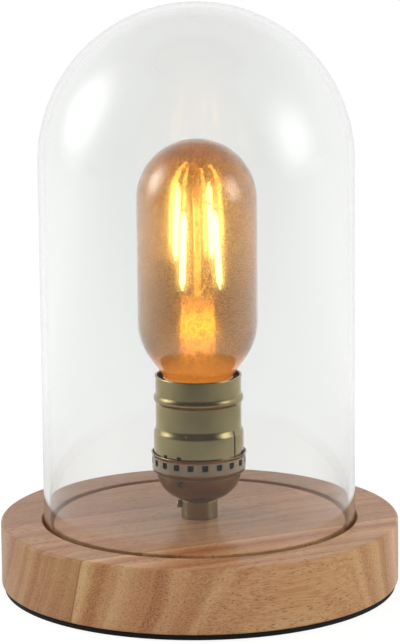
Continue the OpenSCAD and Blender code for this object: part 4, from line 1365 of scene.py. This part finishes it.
@dataclass(frozen=True)
class Thread:
    """The round thread of the lamp's cap and of the shell that takes it.

    Each ring of it is a circle shifted off the axis, and the shift turns once round in a pitch.
    """

    pitch: float = 3.629
    wave: float = 0.5
    rows: int = 14

    def rings(self, low: float, high: float, radius: float, widen: int) -> list[Ring]:
        """Rings of a threaded stretch, whose wave fades over half a turn at both ends.

        Args:
            low: Height of the lower end.
            high: Height of the upper end.
            radius: Mean radius.
            widen: 1 where the ends widen as the wave fades, and -1 where they narrow.

        Returns:
            The rings from the lower end to the upper one.
        """
        count = math.ceil((high - low) / self.pitch * self.rows)
        made = []
        for i in range(count + 1):
            z = low + (high - low) * i / count
            fade = min(1.0, min(z - low, high - z) / (self.pitch / 2))
            angle = math.radians(360 * z / self.pitch)
            shift = self.wave * fade
            wide = radius + widen * self.wave * (1 - fade)
            made.append(Ring(wide, z, shift * math.cos(angle), shift * math.sin(angle)))
        return made


@dataclass
class Socket:
    """What the holder holds: screw shell, socket body, contacts, terminals and their wiring."""

    finishes: Finishes
    thread: Thread = Thread()
    screw_r: float = 12.95
    sheet: float = 0.4
    flange_r: float = 9.0
    flare: float = 0.15
    lip_h: float = 1.0

    def build_screw_shell(self) -> None:
        """Rolls the brass screw shell with its thread and floor."""
        low, high = node_box("screw_shell")
        t, z0, z1 = self.sheet, low.z + 2 * self.sheet, high.z - self.lip_h
        mouth = self.screw_r + self.thread.wave + self.flare
        shell = Workshop.turn("screw_sleeve", [
            Ring(self.flange_r, low.z), Ring(self.screw_r + t, low.z),
            *self.thread.rings(z0, z1, self.screw_r + t, 1),
            Ring(mouth + t, high.z), Ring(mouth, high.z),
            *self.thread.rings(z0, z1, self.screw_r, 1)[::-1],
            Ring(self.screw_r, low.z + t), Ring(self.flange_r, low.z + t),
            Ring(self.flange_r, low.z),
        ], sides=64)
        Workshop.smooth(shell, SHARP_ON_THREAD)
        dress(shell, self.finishes.strip, "bright_brass", "base", "screw_shell")

    def build(self) -> None:
        """Builds and dresses the socket."""
        self.build_screw_shell()
        made = self.finishes
        kept = {
            "bright_brass": (made.strip, (
                "shell_rivets", "contact_foot", "contact_tongue", "live_terminal",
                "neutral_terminal", "block_inserts",
            )),
            "zinc_steel": (made.zinc, (
                "terminal_screws", "threaded_tube", "tube_washer", "tube_nut", "block_screws",
                "block_fixing_screw",
            )),
            "brown_phenolic": (made.phenolic, ("socket_body",)),
            "brown_insulation": (made.live, ("live_lead",)),
            "blue_insulation": (made.neutral, ("neutral_lead",)),
            "white_plastic": (made.polyamide, ("terminal_block",)),
        }
        for slot, (material, names) in kept.items():
            for name in names:
                keep(name, material)


@dataclass
class FilamentLamp:
    """The screw-in lamp: amber glass, stem, rod, four lit filaments, wires and cap."""

    finishes: Finishes
    thread: Thread = Thread()
    wall: float = 0.8
    neck_r: float = 12.4
    neck_l: float = 4.0
    shoulder_r: float = 24.0
    shoulder_angle: float = 36.0
    neck_ease: float = 1.3
    stem_r: float = 6.6
    stem_wall: float = 0.9
    flare_r: float = 11.5
    flare_h: float = 8.0
    press_w: float = 12.0
    press_t: float = 3.6
    press_h: float = 8.0
    press_edge: float = 0.8
    rod_r: float = 1.3
    rod_foot: float = 0.3
    head_r: float = 1.8
    filament_r: float = 10.0
    filament_lean: float = 1.7
    filament_l: float = 26.0
    tab: float = 1.5
    coat_r: float = 1.1
    # The coat swells over each of its chips, by this share of its radius
    chips: int = 13
    swell: float = 0.07
    wire_r: float = 0.35
    wire_root: float = 2.8
    wire_gap: float = 0.15
    wire_hook: float = 2.0
    # The upper wires leave the head this far under its top
    wire_drop: float = 1.1
    first_angle: float = 56.0
    thread_r: float = 12.65
    cap_sheet: float = 0.5
    cap_round: float = 0.3
    cap_mouth: float = 12.6
    cap_neck: float = 4.7

    def __post_init__(self) -> None:
        """Takes the lamp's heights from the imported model."""
        self.cap_low, self.cap_high = (corner.z for corner in node_box("bulb_cap"))
        self.glass_top = node_box("bulb_glass")[1].z
        self.glass_r = node_box("bulb_glass")[1].x
        self.crown = self.glass_top - self.glass_r
        self.rod_low, self.rod_high = (corner.z for corner in node_box("bulb_rod"))
        lean = math.radians(self.shoulder_angle)
        reach = self.glass_r - self.shoulder_r * (1 - math.cos(lean)) - self.neck_r
        self.shoulder_z = self.cap_high + reach / math.tan(lean) + self.shoulder_r * math.sin(lean)

    def glass_outline(self, inset: float) -> list[Point]:
        """Outline of the glass from its neck to its top, drawn in by an inset.

        Args:
            inset: How far inside the outer face the outline runs.

        Returns:
            The outline's points.
        """
        lean = math.radians(self.shoulder_angle)
        neck, corner = self.neck_r - inset, self.cap_high
        ease = self.neck_ease
        start = Vector((neck, corner - ease))
        end = Vector((neck + ease * math.sin(lean), corner + ease * math.cos(lean)))
        middle = Vector((neck, corner))
        bend = []
        for i in range(6):
            share = i / 5
            bend.append(tuple(start.lerp(middle, share).lerp(middle.lerp(end, share), share)))
        return [
            (neck, self.cap_high - self.neck_l), *bend,
            *arc(self.glass_r - self.shoulder_r, self.shoulder_z, self.shoulder_r - inset,
                 -self.shoulder_angle, 0, 12),
            *arc(0, self.crown, self.glass_r - inset, 0, 90, 24),
        ]

    def build_glass(self) -> None:
        """Blows the lamp's glass: the same outline outside and, drawn in by the wall, inside."""
        outer, inner = self.glass_outline(0), self.glass_outline(self.wall)
        glass = Workshop.turn("lamp_glass", rings([*outer[::-1], *inner]), sides=128)
        Workshop.smooth(glass, SHARP_ON_BLOWN)
        dress(glass, self.finishes.amber, "amber_glass", "lamp", "bulb_glass")

    def build_stem(self) -> None:
        """Draws the stem: a flared tube whose top is pinched flat on the wires."""
        foot = node_box("bulb_stem")[0].z
        neck = self.cap_high + self.flare_h
        top = node_box("bulb_stem")[1].z
        tube_top = top - self.press_h
        bend = self.flare_r - self.stem_r
        flat = self.press_t / self.press_w
        half = self.press_w / 2
        edge = self.press_edge
        outside = rings([
            (self.flare_r, foot), *arc(self.flare_r, neck, bend, 240, 180, 8),
            (self.stem_r, tube_top - 2.5),
        ])
        pinch = [
            Ring(self.stem_r * 0.97, tube_top - 1.2, flat=0.85),
            Ring(half, tube_top + 0.4, flat=0.55),
            Ring(half, tube_top + 1.8, flat=flat * 1.15),
            Ring(half, top - edge, flat=flat),
            Ring(half - edge * 0.4, top - edge * 0.3, flat=flat * 0.9),
            Ring(half - edge, top, flat=flat * 0.7), Ring(0, top, flat=flat * 0.7),
        ]
        inner_top, bore = tube_top - self.stem_wall, self.stem_r - self.stem_wall
        inside = rings([
            (0, inner_top), (bore - 1.2, inner_top), (bore, inner_top - 2.0),
            *arc(self.flare_r, neck, bend + self.stem_wall, 180, 240, 8),
            (self.flare_r - self.stem_wall, foot),
        ])
        outline = [*reversed(pinch), *reversed(outside), *reversed(inside)]
        stem = Workshop.turn("lamp_stem", outline, sides=64)
        Workshop.smooth(stem, SHARP_ON_DRAWN)
        dress(stem, self.finishes.stem, "stem_glass", "lamp", "bulb_stem")

    def build_rod(self) -> None:
        """Draws the glass rod with the bead that holds the upper wires."""
        low, high, r = self.rod_low, self.rod_high, self.rod_r
        foot, head = self.rod_foot, self.head_r
        rod = Workshop.turn("lamp_rod", rings([
            (0, low), *arc(r - foot, low + foot, foot, -90, 0, 3),
            (r, high - 3.0), (r + 0.15, high - 2.6), *arc(0, high - head, head, -20, 90, 8),
        ]), sides=32)
        Workshop.smooth(rod, SHARP_ON_BLOWN)
        dress(rod, self.finishes.rod, "stem_glass", "lamp", "bulb_rod")

    def filament_place(self, number: int) -> tuple[float, float]:
        """Angle and foot height of a filament, numbered from 1."""
        low = node_box(f"filament_{number}")[0].z
        return self.first_angle + 90 * (number - 1), low

    def build_filament(self, number: int) -> None:
        """Makes one filament, coated between its bare tabs, and leans it to its place.

        Args:
            number: The filament's number, from 1.
        """
        total = self.filament_l + 2 * self.tab
        tilt = math.asin(self.filament_lean / total)
        coat, wire = self.coat_r, self.wire_r
        steps = 4 * self.chips
        body = []
        for i in range(steps + 1):
            share = i / steps
            swell = 1 - self.swell + self.swell * math.cos(2 * math.pi * share * self.chips)
            # The coat ends round, so it narrows within its own radius of either end
            from_end = min(1.0, min(share, 1 - share) * self.filament_l / coat)
            end = math.sqrt(1 - (1 - from_end) ** 2)
            body.append((max(wire, coat * swell * end), self.tab + self.filament_l * share))
        piece = Workshop.turn(f"lit_filament_{number}", rings([
            (0, 0), (wire, 0), *body, (wire, total), (0, total),
        ]), sides=24)
        angle, low = self.filament_place(number)
        lift = wire * math.sin(tilt)
        place = (
            Matrix.Rotation(math.radians(angle), 4, "Z")
            @ Matrix.Translation((self.filament_r * MM, 0, (low + lift) * MM))
            @ Matrix.Rotation(-tilt, 4, "Y")
        )
        Workshop.smooth(piece, SHARP_ON_DRAWN)
        Workshop.settle(piece, place)
        dress(piece, self.finishes.lit, "lit_filament", "lamp", f"filament_{number}")

    def build_wires(self) -> None:
        """Bends the wires from the stem to the filaments' feet, and from their tops to the bead."""
        total = self.filament_l + 2 * self.tab
        tilt = math.asin(self.filament_lean / total)
        hook = Vector((0, 0, self.wire_hook))
        gap = Vector((0, 0, self.wire_gap))
        feet, tops = [], []
        for number in range(1, 5):
            angle, low = self.filament_place(number)
            foot = at(self.filament_r, angle, low) - gap
            root = at(self.wire_root, angle, self.rod_low + 2 * self.wire_r)
            route = [root, root.lerp(foot - hook, 0.6), foot - hook, foot]
            feet.append(Workshop.wire(f"foot_{number}", route, self.wire_r))
            top_r, top_z = self.filament_r - total * math.sin(tilt), low + total * math.cos(tilt)
            head = at(top_r, angle, top_z) + gap
            start_r = self.head_r + self.wire_gap + self.wire_r
            start = at(start_r, angle, self.rod_high - self.wire_drop)
            route = [start, start.lerp(head + hook, 0.6), head + hook, head]
            tops.append(Workshop.wire(f"top_{number}", route, self.wire_r))
        for name, parts, node in (
            ("foot_wires", feet, "filament_feet_wires"), ("top_wires", tops, "filament_top_wires"),
        ):
            wires = Workshop.join(parts)
            wires.name = wires.data.name = name
            dress(wires, self.finishes.wire, "nickel_wire", "lamp", node)

    def build_cap(self) -> None:
        """Rolls the lamp's nickel-plated cap with its thread."""
        low, high, t = self.cap_low, self.cap_high, self.cap_sheet
        thread_top = high - self.cap_neck
        bore = self.thread_r - self.thread.wave - t
        neck_z = thread_top + t
        cap = Workshop.turn("lamp_cap", [
            Ring(bore, low), Ring(self.thread_r - self.thread.wave - self.cap_round, low),
            *self.thread.rings(low + self.cap_round, thread_top, self.thread_r, -1),
            Ring(self.cap_mouth + t, neck_z), Ring(self.cap_mouth + t, high),
            Ring(self.cap_mouth, high), Ring(self.cap_mouth, neck_z),
            Ring(bore, thread_top - t), Ring(bore, low),
        ], sides=64)
        Workshop.smooth(cap, SHARP_ON_THREAD)
        dress(cap, self.finishes.nickel, "nickel_cap", "lamp", "bulb_cap")

    def build(self) -> None:
        """Builds and dresses the lamp."""
        self.build_glass()
        self.build_stem()
        self.build_rod()
        for number in range(1, 5):
            self.build_filament(number)
        self.build_wires()
        self.build_cap()
        keep("cap_insulator", self.finishes.vitrite)
        keep("cap_contact", self.finishes.solder)
        keep("driver_board", self.finishes.mask)
        keep("driver_parts", self.finishes.nylon)


@dataclass
class Studio:
    """A white sweep, two softboxes, an even fill and the camera of the photograph."""

    # Camera fitted to the outlines in the photograph
    lens: float = 192.156
    sensor: float = 36.0
    eye: tuple[float, float, float] = (0.862, -1256.81, 364.08)
    pitch: float = 11.8127
    roll: float = -0.00953
    clip: Point = (50.0, 60000.0)
    floor_r: float = 9000.0
    # The floor lies this far under the pad
    floor_drop: float = 0.05
    # Grey of the floor where it is seen and its own glow makes it white, and in bounced light
    seen_grey: float = 0.3
    lit_grey: float = 0.8
    floor_glow: float = 0.86
    box_distance: float = 1000.0
    box_width: float = 1300.0
    box_height: float = 1450.0
    # The softboxes look at the lamp's middle, at this height
    box_aim: float = 110.0
    box_left: tuple[float, float, float] = (-0.892, 0.139, 0.430)
    box_right: tuple[float, float, float] = (0.924, -0.235, 0.301)
    left_glow: float = 3.3
    right_glow: float = 2.6
    # Light on the lamp from the sides and from above, and between which directions it dims
    fill: float = 0.96
    top_fill: float = 0.27
    fill_fade: Point = (0.0, 0.9)
    # How bright the studio looks in a mirror that faces the camera's side, and upwards, and
    # between which directions it dims
    front_glow: float = 0.08
    front_fade: Point = (-0.7, 0.5)
    top_glow: float = 0.5
    top_fade: Point = (0.3, 0.9)
    # The floor is this bright in such a mirror, and dims between these places
    front_floor: float = 0.06
    floor_fade: Point = (-450.0, 300.0)

    def build_camera(self) -> None:
        """Places the camera. Its frame leans a little, as the photograph's does."""
        pitch = math.radians(self.pitch)
        forward = Vector((0, math.cos(pitch), -math.sin(pitch)))
        right, up = Vector((1, 0, 0)), Vector((0, math.sin(pitch), math.cos(pitch)))
        leaned_right = (right + up * self.roll).normalized()
        leaned_up = (up - right * self.roll).normalized()
        bpy.ops.object.camera_add(location=Vector(self.eye) * MM)
        camera = bpy.context.object
        camera.name = "photo_camera"
        turn = Matrix((leaned_right, leaned_up, -forward)).transposed()
        camera.rotation_euler = turn.to_euler()
        camera.data.lens = self.lens
        camera.data.sensor_width = self.sensor
        camera.data.clip_start, camera.data.clip_end = (distance * MM for distance in self.clip)
        bpy.context.scene.camera = camera

    def build_floor(self) -> None:
        """Lays a white floor that shows as white but keeps the lamp's shadow."""
        bpy.ops.object.select_all(action="DESELECT")
        bpy.ops.mesh.primitive_circle_add(
            vertices=96, radius=self.floor_r * MM, fill_type="NGON",
            location=(0, 0, -self.floor_drop * MM),
        )
        floor = bpy.context.object
        floor.name = "studio_floor"
        made, node = new_material("white_sweep")
        path = node("LightPath")
        bounced = node("Math", (path.outputs["Diffuse Depth"], 0.5), operation="GREATER_THAN")
        polished = node("Math", (path.outputs["Glossy Depth"], 0.5), operation="GREATER_THAN")
        paint = node("BsdfDiffuse", ((*[self.seen_grey] * 3, 1),))
        way = node("SeparateXYZ", (node("TexCoord").outputs["Object"],)).outputs["Y"]
        fade = [y * MM for y in self.floor_fade]
        mirrored = node("MapRange", (way, *fade, self.front_floor, self.floor_glow))
        strength = node("Mix", {0: polished, 2: self.floor_glow, 3: mirrored})
        glow = node("Emission", ((1, 1, 1, 1), strength))
        seen = node("AddShader", (paint, glow))
        lit = node("BsdfDiffuse", ((*[self.lit_grey] * 3, 1),))
        paper = node("MixShader", (bounced, seen, lit))
        # From below it can be seen through, so that the underside can be looked at
        below = node("NewGeometry").outputs["Backfacing"]
        open_below = node("MixShader", (below, paper, node("BsdfTransparent")))
        node("OutputMaterial", (open_below,))
        floor.data.materials.append(made)

    def build_softbox(
        self, name: str, direction: tuple[float, float, float], strength: float
    ) -> None:
        """Hangs a softbox that faces the lamp, brightest in the middle and soft at its edges.

        Args:
            name: Name of the softbox.
            direction: Where it hangs, seen from the middle of the lamp.
            strength: Its brightness in the middle.
        """
        middle = Vector((0, 0, self.box_aim * MM))
        away = Vector(direction).normalized()
        bpy.ops.object.select_all(action="DESELECT")
        bpy.ops.mesh.primitive_plane_add(size=1, location=middle + away * self.box_distance * MM)
        box = bpy.context.object
        box.name = name
        box.scale = (self.box_width * MM, self.box_height * MM, 1)
        box.rotation_euler = away.to_track_quat("Z", "Y").to_euler()
        box.visible_camera = False
        box.visible_shadow = False
        made, node = new_material(name + "_cloth")
        place = node("TexCoord").outputs["Object"]
        from_middle = node("VectorMath", (place,), operation="LENGTH")
        fall = node("MapRange", (from_middle, 0.5, 0.0), interpolation_type="SMOOTHSTEP")
        softer = node("Math", (fall, fall), operation="MULTIPLY")
        power = node("Math", (softer, strength), operation="MULTIPLY")
        # What lies behind the box shows through, so that its dim corners leave no dark marks
        seen = node("AddShader", (node("Emission", {1: power}), node("BsdfTransparent")))
        node("OutputMaterial", (seen,))
        box.data.materials.append(made)

    def build_world(self) -> None:
        """Surrounds the lamp with white, which dims towards the camera's side in reflections."""
        world = bpy.data.worlds.new("studio_world")
        bpy.context.scene.world = world
        world.use_nodes = True
        world.node_tree.nodes.clear()
        node = partial(add, world.node_tree)
        path = node("LightPath")
        way = node("SeparateXYZ", (node("TexCoord").outputs["Generated"],))
        deep, up = way.outputs["Y"], way.outputs["Z"]
        front_part = (deep, *self.front_fade, self.front_glow, 1.0)
        front = node("MapRange", front_part, interpolation_type="SMOOTHSTEP")
        top_part = (up, *self.top_fade, 1.0, self.top_glow)
        top = node("MapRange", top_part, interpolation_type="SMOOTHSTEP")
        mirrored = node("Math", (front, top), operation="MULTIPLY")
        polished = node("Math", (path.outputs["Glossy Depth"], 0.5), operation="GREATER_THAN")
        glossy = node("Mix", {0: polished, 2: 1.0, 3: mirrored})
        bounced = node("Math", (path.outputs["Diffuse Depth"], 0.5), operation="GREATER_THAN")
        fill = node("MapRange", (up, *self.fill_fade, self.fill, self.top_fill))
        strength = node("Mix", {0: bounced, 2: glossy, 3: fill})
        node("OutputWorld", (node("Background", ((1, 1, 1, 1), strength)),))

    def build(self) -> None:
        """Sets up the studio."""
        self.build_camera()
        self.build_floor()
        self.build_softbox("softbox_left", self.box_left, self.left_glow)
        self.build_softbox("softbox_right", self.box_right, self.right_glow)
        self.build_world()
        bpy.context.scene.view_settings.view_transform = "Standard"


def main() -> None:
    """Builds the studio and every sub-assembly in order."""
    logging.basicConfig(level=logging.INFO, format="%(name)s: %(message)s")
    Studio().build()
    finishes = Finishes()
    for assembly in (WoodenBase, GlassDome, LampHolder, Socket, FilamentLamp):
        assembly(finishes).build()


if __name__ == "__main__":
    main()
